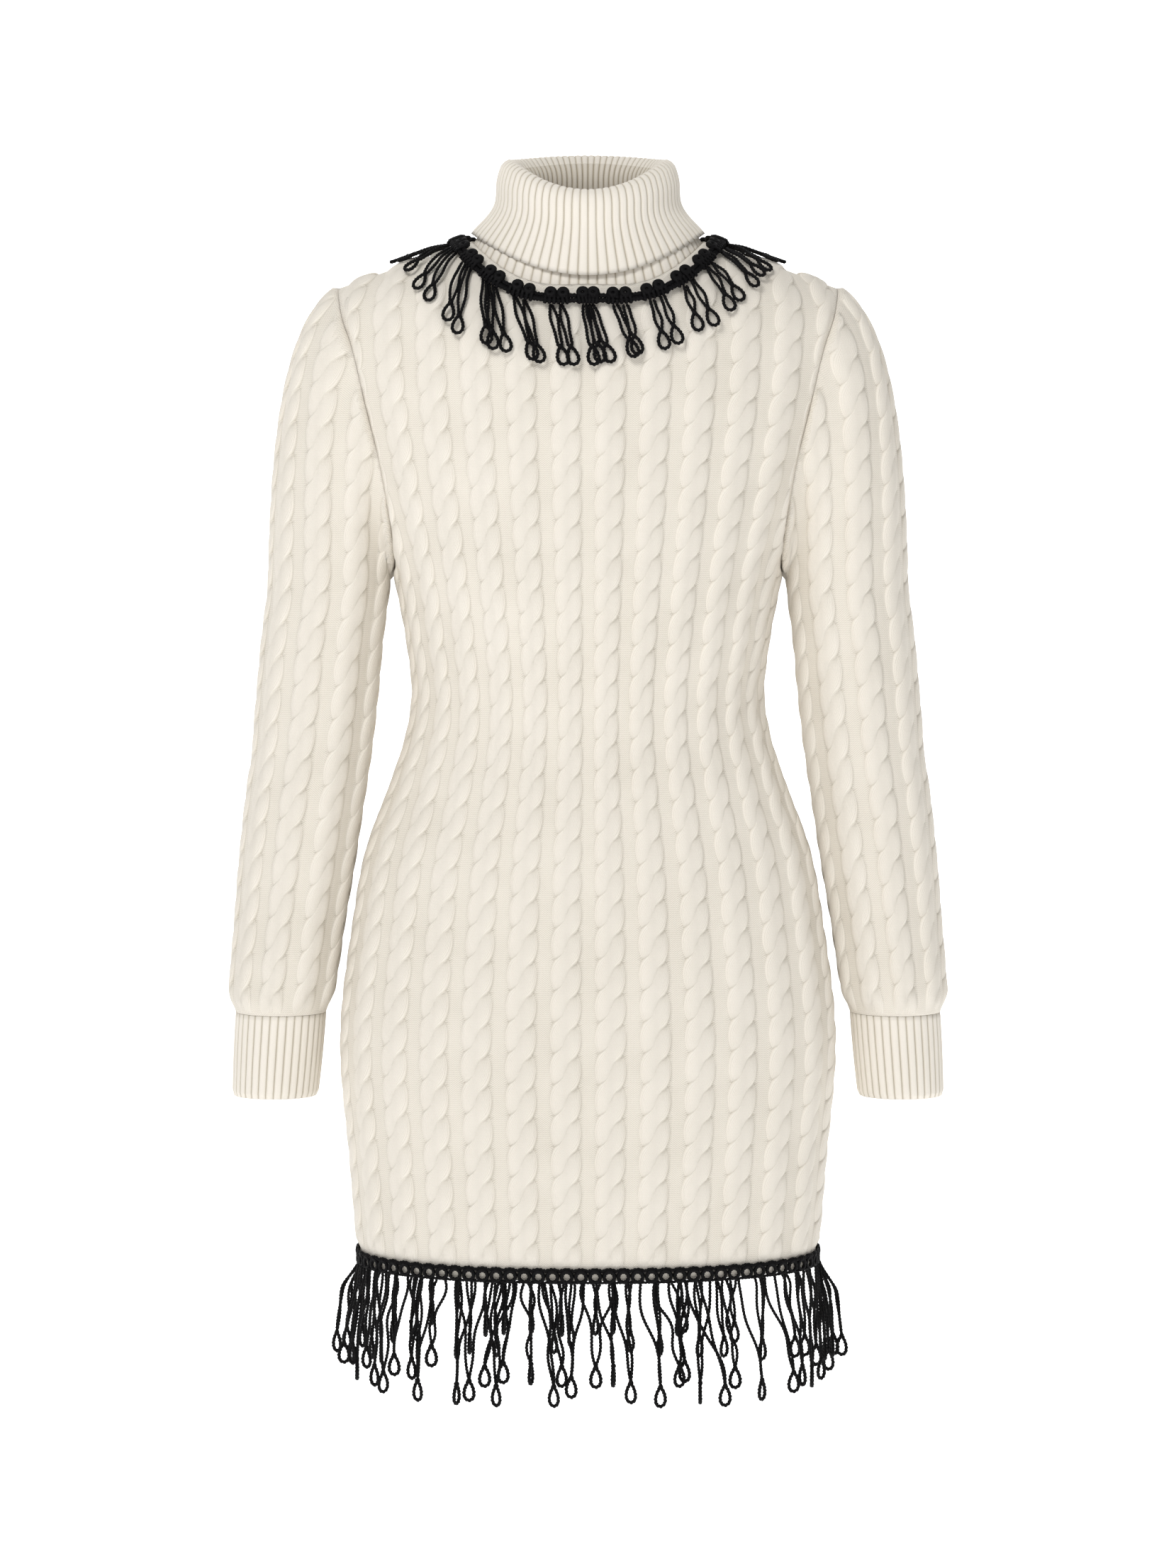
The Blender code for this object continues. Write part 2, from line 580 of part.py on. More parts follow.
def make_cuff(name, side):
    def ring(size, z, inset, ribs):
        count = 2 * ribs if ribs else CUFF_RIBS // 2
        angle = 2 * math.pi * np.arange(count) / count
        drop = np.where(np.arange(count) % 2, RIB_RISE, 0.0) if ribs else 0.0
        x = size[0] + (size[1] - inset - drop) * np.sin(angle)
        y = -(size[2] - inset - drop) * np.cos(angle)
        points = np.stack([x, y, np.full(count, z)], axis=1)
        return points if side > 0 else points[::-1] * (-1, 1, 1)

    top = SLEEVE_END_Z - SEAM_GAP
    inset = WALL + 0.0003
    rings = [ring(CUFF_END, CUFF_END_Z, 0, CUFF_RIBS), ring(CUFF_TOP, top, 0, CUFF_RIBS),
             ring(CUFF_TOP, top, inset, 0), ring(CUFF_END, CUFF_END_Z, inset, 0)]
    return stack_rings(name, rings, IVORY)


# Collar.

def neck_line(front, back):
    """The neck seam's points with their angles round it, from the front towards +X."""
    made = []
    for surface, _, neck in (front, back):
        line = np.concatenate([neck, mirrored(neck)[1:]])
        points, _ = surface.read(line[:, 0], line[:, 1])
        made.append(points)
    return np.concatenate(made)


def oval(half_width, front, back, count, squareness=2.0):
    """A closed oval in plan, from the front towards +X, with the angle of each point."""
    angle = 2 * math.pi * np.arange(count) / count
    s, c = np.sin(angle), np.cos(angle)
    depth = np.where(c > 0, front, back)
    x = half_width * np.sign(s) * np.abs(s) ** (2 / squareness)
    y = -depth * np.sign(c) * np.abs(c) ** (2 / squareness)
    return x, y, angle


def collar_ring(half_width, front, back, z_front, z_side, z_back, ribbed):
    count = 2 * COLLAR_RIBS if ribbed else COLLAR_COARSE
    x, y, angle = oval(half_width, front, back, count)
    ends = np.where(np.cos(angle) > 0, z_front, z_back)
    z = z_side + (ends - z_side) * np.cos(angle) ** 2
    if ribbed:
        inward = 1 - np.where(np.arange(count) % 2, RIB_RISE, 0.0) / np.hypot(x, y)
        x, y = x * inward, y * inward
    return np.stack([x, y, z], axis=1)


def base_ring(seam, inset, count):
    """The collar's lower edge, just inside the neck seam and a little below it."""
    x, y, _ = oval(NECK_HALF_WIDTH - inset, NECK_DEPTHS["front"] - inset, NECK_DEPTHS["back"] - inset,
                   count, NECK_SQUARENESS)
    seam_angle = np.arctan2(seam[:, 0], -seam[:, 1])
    order = np.argsort(seam_angle)
    z = np.interp(np.arctan2(x, -y), seam_angle[order], seam[order, 2], period=2 * math.pi)
    return np.stack([x, y, z - COLLAR_DROP], axis=1)


def make_collar(seam):
    rings = [collar_ring(*COLLAR[key]) for key in
             ("edge", "flare", "roll_outside", "roll_top", "roll_inside")]
    rings += [base_ring(seam, 0.0034, COLLAR_COARSE), base_ring(seam, 0.0007, 2 * COLLAR_COARSE)]
    rings += [collar_ring(*COLLAR[key]) for key in
              ("stand_top", "fold_under", "layer_inside", "edge_inside")]
    return stack_rings("collar", rings, IVORY)


# Crochet trims.

class Trim:
    """Points and triangles of a trim, with its cords grown from the strip they hang from."""

    def __init__(self):
        self.points, self.faces = [], []

    def add(self, point):
        self.points.append(tuple(point))
        return len(self.points) - 1

    def quad(self, a, b, c, d):
        self.faces += [(a, b, c), (a, c, d)]

    def cord(self, root, centres, radii, right, out):
        """A three-sided cord from a root triangle through rings round the centres to the last centre."""
        last = root
        for centre, radius in zip(centres[:-1], radii):
            ring = [self.add(centre + right * radius + out * radius * 0.5),
                    self.add(centre - right * radius + out * radius * 0.5),
                    self.add(centre - out * radius * 0.7)]
            for i in range(3):
                j = (i + 1) % 3
                self.quad(last[i], last[j], ring[j], ring[i])
            last = ring
        tip = self.add(centres[-1])
        self.faces += [(last[i], last[(i + 1) % 3], tip) for i in range(3)]

    def finish(self, name):
        return add_mesh(name, np.array(self.points), np.array(self.faces), BLACK)


def neck_stations(panel, count):
    """Places along the neck seam, evenly spaced, with the way away from the neck, in flat knitting."""
    surface, _, neck = panel
    width = np.array([BODY_WIDTH, 1.0])
    line = spaced(np.concatenate([neck, mirrored(neck)[1:]]), surface, 0.002)
    at = np.linspace(0, len(line) - 1, count + 1)
    place = np.stack([np.interp(at, np.arange(len(line)), line[:, k]) for k in (0, 1)], axis=1)
    along = np.gradient(place * width, axis=0)
    away = unit(np.stack([along[:, 1], -along[:, 0]], axis=1))
    away[0], away[-1] = (-1.0, 0.0), (1.0, 0.0)
    return place, away / width


def on_panel(surface, place, away, distance, lift, at_shoulder):
    spot = place + away * distance
    up = surface.top(spot[0]) if at_shoulder else min(spot[1], surface.top(spot[0]))
    point, normal = surface.read(spot[0], up)
    return point + normal * lift, normal


def make_neck_fringe(front, back):
    trim = Trim()
    near, far = 0.0025, 0.0025 + NECK_BRAID_WIDTH
    under, over = BRAID_LIFT, BRAID_LIFT + NECK_BRAID_THICK
    front_count, rows, cords = NECK_SEGMENTS // 2 + 2, [], []
    for panel, count in ((front, front_count), (back, NECK_SEGMENTS - front_count)):
        place, away = neck_stations(panel, count)
        for i in range(count):
            ends = i == 0
            rows.append([on_panel(panel[0], place[i], away[i], distance, lift, ends)[0]
                         for distance, lift in ((near, over), (far, over), (far, under), (near, under))])
            middle, way = (place[i] + place[i + 1]) / 2, (away[i] + away[i + 1]) / 2
            centres = [on_panel(panel[0], middle, way, far + NECK_CORD[key],
                                NECK_CORD["lift"], False)[0] for key in ("knot", "loop", "end")]
            cords.append(centres)
    numbers = [[trim.add(point) for point in row] for row in rows]
    for i in range(NECK_SEGMENTS):
        j = (i + 1) % NECK_SEGMENTS
        n0, f0, fu0, nu0 = numbers[i]
        n1, f1, fu1, nu1 = numbers[j]
        trim.quad(f0, f1, n1, n0)
        trim.quad(nu0, nu1, fu1, fu0)
        trim.quad(n0, n1, nu1, nu0)
        trim.faces.append((f1, fu0, fu1))
        right = unit(np.array(rows[j][1]) - np.array(rows[i][1]))
        out = unit(np.array(rows[i][1]) - np.array(rows[i][2]))
        trim.cord([f1, f0, fu0], cords[i], (NECK_CORD["radius"], NECK_CORD["wide"]), right, out)
    return trim.finish("neck_fringe")


def make_hem_fringe(name, panel):
    """Half of the ring chain round the hem, with a looped cord under each ring."""
    trim = Trim()
    surface, count = panel[0], HEM_RINGS // 2
    under, over = HEM_BAND["lift"], HEM_BAND["lift"] + HEM_BAND["thick"]
    pitch = 1.0 / count
    gap = 0.0004
    hem_length = float(np.linalg.norm(np.diff(surface.read(np.linspace(0, 1, 200), 0)[0], axis=0), axis=1).sum())
    hole = HEM_BAND["hole_x"] / hem_length
    top, bottom = HEM_BAND["above"], -HEM_BAND["below"]
    level = (top + bottom) / 2

    def spot(across, up, lift):
        place, normal = surface.read(min(max(across, gap), 1 - gap), up)
        normal = unit(normal * (1, 1, 0))
        return place + normal * lift

    def both(across, up):
        return trim.add(spot(across, up, over)), trim.add(spot(across, up, under))

    tops = [both(i * pitch, top) for i in range(count + 1)]
    bottoms = [both(i * pitch, bottom) for i in range(count + 1)]
    for i in range(count):
        middle = (i + 0.5) * pitch
        ring = [both(middle - hole, level), both(middle, level - HEM_BAND["hole_z"]),
                both(middle + hole, level), both(middle, level + HEM_BAND["hole_z"])]
        corners = [bottoms[i], bottoms[i + 1], tops[i + 1], tops[i]]
        for k in range(4):
            a, b = corners[k], corners[(k + 1) % 4]
            c, d = ring[(k + 1) % 4], ring[k]
            trim.faces += [(a[0], b[0], c[0]), (a[0], c[0], d[0]), (b[1], a[1], c[1]), (c[1], a[1], d[1])]
            trim.quad(d[0], c[0], c[1], d[1])
        trim.quad(tops[i][0], tops[i + 1][0], tops[i + 1][1], tops[i][1])
        right_end, left_end = bottoms[i + 1], bottoms[i]
        trim.faces.append((right_end[0], left_end[1], right_end[1]))
        start = spot(middle, bottom, (under + over) / 2)
        right = unit(np.array(trim.points[right_end[0]]) - np.array(trim.points[left_end[0]]))
        out = unit(np.cross(right, (0.0, 0.0, 1.0)))
        length = HEM_CORD_LENGTHS[i % len(HEM_CORD_LENGTHS)]
        sway = 0.0018 * math.sin(2.4 * i) * right
        centres = [start + sway - (0, 0, length - HEM_LOOP), start + sway * 1.3 - (0, 0, length - 0.4 * HEM_LOOP),
                   start + sway * 1.5 - (0, 0, length)]
        trim.cord([right_end[0], left_end[0], left_end[1]], centres, (HEM_CORD_RADIUS, HEM_LOOP_RADIUS),
                  right, out)
    for (t, b), sign in ((( tops[0], bottoms[0]), 1), ((tops[-1], bottoms[-1]), -1)):
        corners = (b[0], t[0], t[1], b[1])
        trim.quad(*(corners if sign > 0 else corners[::-1]))
    return trim.finish(name)


def main():
    for old in list(bpy.data.objects):
        bpy.data.objects.remove(old)
    front, back = body_panel("front"), body_panel("back")
    make_body("front_panel", "front", front)
    make_body("back_panel", "back", back)
    right = sleeve_surface(front, back)
    counts = [len(spaced(panel[1], panel[0], ARMHOLE_STEP)) - 1 for panel in (front, back)]
    make_sleeve("sleeve_right", right, counts)
    make_sleeve("sleeve_left", flipped_surface(right), counts)
    make_cuff("cuff_right", 1)
    make_cuff("cuff_left", -1)
    make_collar(neck_line(front, back))
    make_neck_fringe(front, back)
    make_hem_fringe("hem_fringe_front", front)
    make_hem_fringe("hem_fringe_back", back)


main()
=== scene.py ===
"""Looks of the sweater dress: rope-cable knitting for the front, back and sleeves, ribbed cuffs and
collar, and black crochet trims with looped cords, each laid on the form of its CAD solid.

Metres, +Z up, the front faces -Y. "across" runs from 0 to 1 over a panel or round a sleeve, and "up" is
the length of knitting above its lower edge. A place on a surface is an (across, up) pair.
"""
import math

import bmesh
import bpy
import numpy as np
from mathutils import Matrix, Vector
from mathutils.geometry import delaunay_2d_cdt


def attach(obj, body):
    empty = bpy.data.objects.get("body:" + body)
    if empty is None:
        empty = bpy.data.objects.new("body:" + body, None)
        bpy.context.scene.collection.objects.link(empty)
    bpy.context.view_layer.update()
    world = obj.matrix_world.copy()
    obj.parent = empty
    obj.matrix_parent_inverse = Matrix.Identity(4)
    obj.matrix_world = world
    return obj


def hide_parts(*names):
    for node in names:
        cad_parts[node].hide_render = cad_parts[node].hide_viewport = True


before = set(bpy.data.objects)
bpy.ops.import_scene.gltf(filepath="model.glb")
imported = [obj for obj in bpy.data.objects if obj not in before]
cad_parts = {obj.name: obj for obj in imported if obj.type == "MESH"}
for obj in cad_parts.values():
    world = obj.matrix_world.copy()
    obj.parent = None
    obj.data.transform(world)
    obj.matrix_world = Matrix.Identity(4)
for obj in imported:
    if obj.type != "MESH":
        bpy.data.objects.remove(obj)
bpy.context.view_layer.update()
bpy.ops.object.select_all(action="DESELECT")

# The dress's driving sizes, as its solids have them.
HEM_Z = -0.767
UNDERARM_Z = -0.250
WALL = 0.0022
SQUARENESS = 0.90
OVERRUN = 0.010
BODY_WIDTH = 0.43       # what "across" stands for in metres, where a panel or a sleeve is laid out flat
SLEEVE_WIDTH = 0.28
TORSO = np.array([      # z, half_width, front, back
    (HEM_Z, 0.1740, 0.098, 0.100),
    (-0.700, 0.1795, 0.100, 0.103),
    (-0.600, 0.1865, 0.102, 0.108),
    (-0.520, 0.1775, 0.101, 0.108),
    (-0.460, 0.1665, 0.099, 0.103),
    (-0.410, 0.1480, 0.097, 0.095),
    (-0.375, 0.1365, 0.096, 0.090),
    (-0.345, 0.1315, 0.098, 0.088),
    (-0.300, 0.1355, 0.104, 0.092),
    (UNDERARM_Z, 0.1450, 0.110, 0.098),
])
YOKE = np.array([       # share of the height above the underarm, half_width
    (0.00, 0.1450),
    (0.20, 0.1600),
    (0.40, 0.1745),
    (0.60, 0.1900),
    (0.80, 0.2040),
    (0.90, 0.2120),
    (1.00, 0.2140),
])
SIDES = {
    "front": {"depth": 2, "roundness": 2.6, "armhole": 0.052, "turn": 1.0},
    "back": {"depth": 3, "roundness": 3.2, "armhole": 0.050, "turn": -1.0},
}
SHOULDER_TIP_X = 0.188
SHOULDER_TIP_Z = -0.033
SHOULDER_SLOPE = 0.363
NECK_SOFTEN = 0.030
ARMHOLE_ROUNDNESS = 2.3
NECK_HALF_WIDTH = 0.088
NECK_DEPTHS = {"front": 0.0805, "back": 0.066}
NECK_SQUARENESS = 2.5
SLEEVE_TOP_Z = -0.262
SLEEVE_END_Z = -0.585
SLEEVE = np.array([     # z, centre_x, half_width, half_depth
    (SLEEVE_END_Z, 0.2345, 0.0345, 0.0320),
    (-0.575, 0.2340, 0.0375, 0.0360),
    (-0.559, 0.2320, 0.0385, 0.0385),
    (-0.516, 0.2270, 0.0400, 0.0410),
    (-0.472, 0.2215, 0.0420, 0.0430),
    (-0.429, 0.2160, 0.0430, 0.0450),
    (-0.386, 0.2100, 0.0435, 0.0465),
    (-0.343, 0.2055, 0.0440, 0.0475),
    (-0.300, 0.2015, 0.0440, 0.0490),
    (SLEEVE_TOP_Z, 0.1965, 0.0440, 0.0500),
])
CAP_CROWDING = 2.0
CAP_LIFT = (0.50, 0.20)
CAP_ARRIVAL = (-0.85, 0.0, 0.53)
SEAM_GAP = 0.0003
COLLAR_DROP = 0.0036
CUFF_END_Z = -0.649
CUFF_TOP = (0.2345, 0.0343, 0.0318)
CUFF_END = (0.2390, 0.0325, 0.0295)

# Cables.
CABLE_SHARE = 0.63      # of a column's width is cable, and the rest is the purl ground between cables
CROSS_RISE = 0.92       # a groove climbs this share of a repeat from the cable's left edge to its right
CABLE_RISE = 0.0034
GROOVE_LEVEL = 0.12     # height of the groove between two strands, as a share of the cable's
CREST = 0.62            # how far a strand's crest leans to the groove that it lies over
LEFT_DEPTH = 0.45       # a groove on a cable's left is this shallow beside one on its right
LEFT_ENDS = (0.35, 0.62)            # places across a cable where its left ends and its right is full
EDGE_ROUNDNESS = 3.0
EDGE_FULLNESS = 0.6
CROSS_STEEPNESS = 8
CREASE_SHADE_STARTS = (0.36, 0.50)        # places across a cable where the painted shade in the crease beside a groove comes and goes
CREASE_SHADE_ENDS = (0.86, 0.98)
CREASE_SHADE_FADES = 0.7
CREASE_SHADE_LEFT = 0.15
CREASE_SHADE_LINE = 0.72      # the share of a crease's painted shade that is a thin line, beside a wider soft shade
# painted shade along a cable's right edge, and the places across it where that comes in
EDGE_SHADE = 0.12
EDGE_SHADE_AT = (0.93, 1.00)
SCALLOP = 0.30          # how far a cable's edges swell between two notches, as a share of its width
SCALLOP_FULLNESS = 0.7
SCALLOP_LEVEL = 0.65
BODY_COLUMNS = 14
BODY_REPEAT = 0.0234
SLEEVE_COLUMNS = 9
SLEEVE_REPEAT = 0.0252
STRAND_WALES = 9        # columns of stitches in a strand
GROUND_WALES = 6
COURSE = 0.0021         # height of one stitch
CABLE_STATIONS = (0, .03, .09, .17, .27, .38, .5, .62, .73, .83, .91, .97, 1)
GROUND_STATIONS = (.25, .5, .75)
PHASE_STATIONS = (0, .04, .1, .18, .28, .4, .52, .64, .75, .85, .92, .965, 1)

HEM_OVERHANG = 0.0080   # the knitting reaches this far down behind the rings of the hem trim

# Points along a wall's border, and how the cable grid stays clear of it.
BORDER_MARGIN = 0.0013
EDGE_MARGIN = 0.001
LINING_STEP = 0.012
LINING_MARGIN = 0.004
SEAM_STEP = 0.004
ARMHOLE_STEP = 0.003
NECK_STEP = 0.0025
SHOULDER_POINTS = 36
HEM_POINTS = 161
WRIST_POINTS = 91
CAP_POINTS = 81
FADES = {               # distance from an edge where the cables start, and over which they rise
    "hem": (0.001, 0.010),
    "neck": (0.002, 0.055),
    "armhole": (0.0015, 0.005),
    "wrist": (0.001, 0.016),
    "cap": (0.0005, 0.004),
}

# Ribs, collar and cuffs.
COLLAR_RIBS = 72
CUFF_RIBS = 34
RIB_RISE = 0.0010
RIB_FULLNESS = 0.45
RIB_LEVEL = 0.6         # the share of the rise that lies below the form
RIB_COURSE = 0.0016
RIB_STATIONS = (0, .07, .18, .33, .5, .67, .82, .93)
COLLAR = {              # half_width, front, back, z_front, z_side, z_back
    "stand_top": (0.0590, 0.0580, 0.0560, 0.026, 0.046, 0.054),
    "fold_under": (0.0670, 0.0655, 0.0640, 0.026, 0.046, 0.054),
    "layer_inside": (0.0685, 0.0680, 0.0660, 0.010, 0.029, 0.036),
    "edge_inside": (0.0862, 0.0784, 0.0755, -0.0240, 0.0080, 0.0125),
    "edge": (0.0885, 0.0808, 0.0778, -0.0245, 0.0075, 0.0120),
    "flare": (0.0706, 0.0706, 0.0690, 0.011, 0.030, 0.037),
    "roll_outside": (0.0682, 0.0684, 0.0668, 0.031, 0.051, 0.059),
    "roll_shoulder": (0.0648, 0.0648, 0.0634, 0.0370, 0.0600, 0.0656),
    "roll_top": (0.0590, 0.0580, 0.0565, 0.0395, 0.0634, 0.0682),
    "roll_inside": (0.0502, 0.0492, 0.0482, 0.0320, 0.0550, 0.0600),
}
TURNED = ("edge", "flare", "roll_outside", "roll_shoulder", "roll_top", "roll_inside")
COLLAR_STEPS = {"turned": 0.0036, "stand": 0.0045, "under": 0.012}
COLLAR_INSIDE = (0.034, 0.058)      # the part below this height and within this radius lies inside
BASE_INSIDE = 0.0034    # the collar's base starts between these distances inside the neck oval
BASE_OUTSIDE = 0.0007
CUFF_RINGS = 16
CUFF_EDGE = 0.0012      # how far the cuff's end turns in
CUFF_BELLY = 0.0004

# Crochet cords.
CORD_SIDES = 6
CORD_STEP = 0.0008
TWIST_PITCH = 0.0027
CORD_PLIES = 0.20       # how far the plies stand out, and how far the cord swells, as shares of its radius
CORD_BEADS = 0.12
CORD_RADIUS = 0.00118
LOOP_RADIUS = 0.00138
LOOP = {"height": 0.0150, "width": 0.0084}
KNOT = (0.0021, 0.0017, 0.0018)
KNOT_BUMPS = 0.11

# Hem trim.
HEM_RINGS = 42          # on each half of the hem
FIRST_RING = 1.7        # place of the pendants' ring 0, in rings from the side
RING = {"middle": 0.0039, "thick": 0.00140, "segments": (22, 6), "over": 0.34, "bumps": 0.17,
        "rise": 0.0004}
RING_LEVEL = -0.0048
TRIM_LIFT = 0.0022
CHAIN = {"level": -0.0090, "radius": 0.00105}
ARCHES = {"level": 0.0044, "rise": 0.0013, "radius": 0.00125, "lift": 0.0002}
HEM_REACH = 1.03        # stretch of every pendant's depth
STRAND_BOW = (0.0016, 0.0011)       # how far a strand bows out on its own side, and how much that varies
STRAND_DRIFT = 0.0010
STRAND_DEPTH = 0.0008
STRAND_GATHER = 0.6     # how far a strand hangs straight before it turns in to its knot
STRANDS_APART = 0.0006
KNOT_DEPTH = 0.0022
EDGEWISE = 1.35         # the turn of every fifth loop in front
HALF_STYLES = {         # how early the strands turn in to the knot, and the loops' turn and its swing
    "front": {"early": 1.0, "swing": (0.0, 0.5)},
    "back": {"early": 2.2, "swing": (1.1, 0.2)},
}
BACK_SPREAD = 1.04
HEM_PENDANTS = (        # rings that the two strands come from, the loop's place, x, and its depth
    (0.2, 0.5, -0.1860, 0.073), (0.8, 1.2, -0.1790, 0.072), (1.0, 2.0, -0.1755, 0.083),
    (2.0, 3.0, -0.1680, 0.073), (3.0, 4.0, -0.1615, 0.084), (3.2, 5.0, -0.1547, 0.088),
    (5.0, 6.0, -0.1462, 0.074), (6.8, 7.2, -0.1327, 0.075), (6.9, 8.0, -0.1281, 0.090),
    (8.0, 9.0, -0.1176, 0.064), (9.9, 11.0, -0.0986, 0.091), (10.1, 12.0, -0.0892, 0.088),
    (13.0, 14.0, -0.0773, 0.076), (12.0, 13.1, -0.0688, 0.091), (13.8, 14.2, -0.0635, 0.074),
    (14.8, 15.2, -0.0427, 0.074), (15.9, 16.2, -0.0256, 0.090), (16.1, 17.2, -0.0197, 0.076),
    (17.8, 19.0, -0.0126, 0.084), (18.9, 21.0, 0.0058, 0.076), (19.9, 21.1, 0.0189, 0.075),
    (21.0, 22.1, 0.0320, 0.088), (23.0, 24.1, 0.0542, 0.091), (24.0, 25.8, 0.0684, 0.076),
    (25.0, 26.2, 0.0723, 0.073), (26.9, 28.0, 0.0841, 0.090), (26.3, 27.2, 0.1027, 0.091),
    (28.9, 29.2, 0.1103, 0.079), (30.1, 32.0, 0.1309, 0.090), (32.2, 33.1, 0.1551, 0.086),
    (34.0, 35.2, 0.1620, 0.083), (36.0, 37.0, 0.1699, 0.087), (38.0, 39.0, 0.1780, 0.086),
    (38.6, 40.0, 0.1810, 0.073), (40.2, 41.0, 0.1870, 0.072),
)

# Neck trim.
NECK_CLUSTERS = {"front": 13, "back": 12}
NECK_NEAR = 0.0065      # distance of the braid from the neck seam
BRAID_LINES = ((0.0044, 0.0), (0.0078, math.pi))    # distance beyond NECK_NEAR and wave of each line
BRAID_RADIUS = 0.00195
BRAID_LIFT = 0.0042
BRAID_WAVE = 0.0004
WRAP_RADIUS = 0.00150
WRAP_REACH = (0.0022, 0.0108)
WRAP_LIFT = (0.0040, 0.0022)
WRAPS_AT = (-0.31, 0.31, 6)         # from, to and number, as shares of a cluster's width
BRAID_SCALLOP = {"middle": 0.0027, "thick": 0.00225, "segments": (18, 8), "over": 0.0, "bumps": 0.12,
                 "rise": 0.0}
SCALLOPS_AT = (-0.185, 0.185)
SCALLOP_REACH = 0.0024
SCALLOP_LIFT = 0.0056
PENDANT_REACH = 0.0102
NECK_LOOP_HEIGHT = 0.92 * LOOP["height"]
NECK_LOOP_WIDTH = 0.0080
NECK_PENDANTS = (       # the cluster that a pendant hangs from and the place of its loop's end, x and z
    (0, -0.1405, -0.0140), (0, -0.1352, -0.0205),
    (1, -0.1278, -0.0335), (1, -0.1188, -0.0420),
    (2, -0.1045, -0.0562), (2, -0.0955, -0.0642),
    (3, -0.0745, -0.0722), (3, -0.0682, -0.0760), (3, -0.0596, -0.0786),
    (4, -0.0400, -0.0832), (4, -0.0335, -0.0850),
    (5, -0.0180, -0.0872), (5, -0.0105, -0.0880),
    (6, 0.0045, -0.0868), (6, 0.0100, -0.0860), (6, 0.0172, -0.0850),
    (7, 0.0352, -0.0814), (7, 0.0378, -0.0806),
    (8, 0.0560, -0.0758), (8, 0.0668, -0.0722),
    (9, 0.0822, -0.0634), (9, 0.0938, -0.0588),
    (10, 0.1063, -0.0475), (10, 0.1138, -0.0420),
    (11, 0.1248, -0.0310), (11, 0.1300, -0.0235),
    (12, 0.1352, -0.0205), (12, 0.1405, -0.0140),
)
NECK_TIP_DROP = 0.004   # how far below its place a front loop ends
BACK_TIPS_AT = (-0.22, 0.22)
BACK_REACH = (0.061, 0.003)
ROOTS_SPREAD = 0.52     # the share of a cluster's width that its roots take
CORD_LIFT = (0.0034, 0.0022)        # height of a cord at the braid, and how much higher it lies further out
CORD_LIFT_OVER = 0.018
STRANDS_SWELL = (0.0008, 0.001302, 0.0004)      # how far the two strands part: at least, midway, unevenly

# Soft folds: start and end places, half width, and rise off the form.
BODY_FOLDS = {
    "front": [
        ((0.05, 0.485), (0.30, 0.455), 0.016, 0.0011),
        ((0.95, 0.480), (0.69, 0.452), 0.016, 0.0011),
        ((0.04, 0.440), (0.24, 0.405), 0.014, -0.0010),
        ((0.96, 0.436), (0.77, 0.402), 0.014, -0.0010),
        ((0.05, 0.385), (0.33, 0.360), 0.015, 0.0009),
        ((0.95, 0.380), (0.66, 0.357), 0.015, 0.0010),
        ((0.10, 0.560), (0.22, 0.640), 0.014, 0.0009),
        ((0.90, 0.556), (0.79, 0.636), 0.014, 0.0009),
        ((0.28, 0.040), (0.31, 0.210), 0.026, 0.0010),
        ((0.70, 0.030), (0.67, 0.190), 0.026, 0.0010),
    ],
    "back": [
        ((0.06, 0.470), (0.40, 0.440), 0.017, 0.0012),
        ((0.94, 0.474), (0.58, 0.446), 0.017, 0.0011),
        ((0.08, 0.415), (0.46, 0.395), 0.015, -0.0010),
        ((0.92, 0.410), (0.55, 0.392), 0.015, -0.0010),
        ((0.06, 0.370), (0.36, 0.350), 0.016, 0.0010),
        ((0.94, 0.366), (0.66, 0.346), 0.016, 0.0010),
        ((0.34, 0.030), (0.31, 0.220), 0.028, 0.0011),
        ((0.66, 0.040), (0.70, 0.200), 0.028, 0.0010),
    ],
}
SLEEVE_FOLDS = [
    ((0.10, 0.150), (0.40, 0.175), 0.013, 0.0009),
    ((0.36, 0.205), (0.62, 0.190), 0.012, -0.0008),
    ((0.55, 0.155), (0.86, 0.180), 0.013, 0.0009),
    ((0.14, 0.240), (0.34, 0.262), 0.014, 0.0009),
    ((0.70, 0.250), (0.88, 0.228), 0.014, 0.0008),
    ((0.20, 0.045), (0.50, 0.036), 0.011, 0.0009),
    ((0.60, 0.040), (0.90, 0.050), 0.011, 0.0009),
]

# Yarn colours and finishes, and what darkens or lightens them: painted shade and light, and the yarn's own
# uneven tone.
# Each ramp runs from a painted-shade colour for hollows, valleys and creases up to the lit colour of the
# yarn.
KNIT_TOP = (0.86, 0.81, 0.735)
KNIT_MIDDLE = (0.79, 0.74, 0.655)
KNIT_SHADED = (0.45, 0.405, 0.33)
RIB_VALLEY_SHADE = (0.43, 0.37, 0.28)
BLACK_TOP = (0.005, 0.0046, 0.005)
BLACK_SHADED = (0.002, 0.002, 0.0022)
KNIT_FINISH = {"Roughness": 0.92, "Specular IOR Level": 0.2, "Sheen Weight": 0.12,
               "Sheen Roughness": 0.5, "Sheen Tint": (1.0, 0.98, 0.94, 1)}
CROCHET_FINISH = {"Roughness": 0.62, "Specular IOR Level": 0.10, "Sheen Weight": 0.0,
                  "Sheen Roughness": 0.4, "Sheen Tint": (0.6, 0.62, 0.7, 1)}
# Shares of the ramp: fibres and drift are the yarn's own uneven tone; height, ground and crease are painted
# shade, with stitch tops lighter and stitch hollows, the purl ground and the cable creases darker.
KNIT_SHADE = {"height": 0.36, "fibres": 0.22, "drift": 0.20, "ground": -0.11, "crease_shade": -0.74}
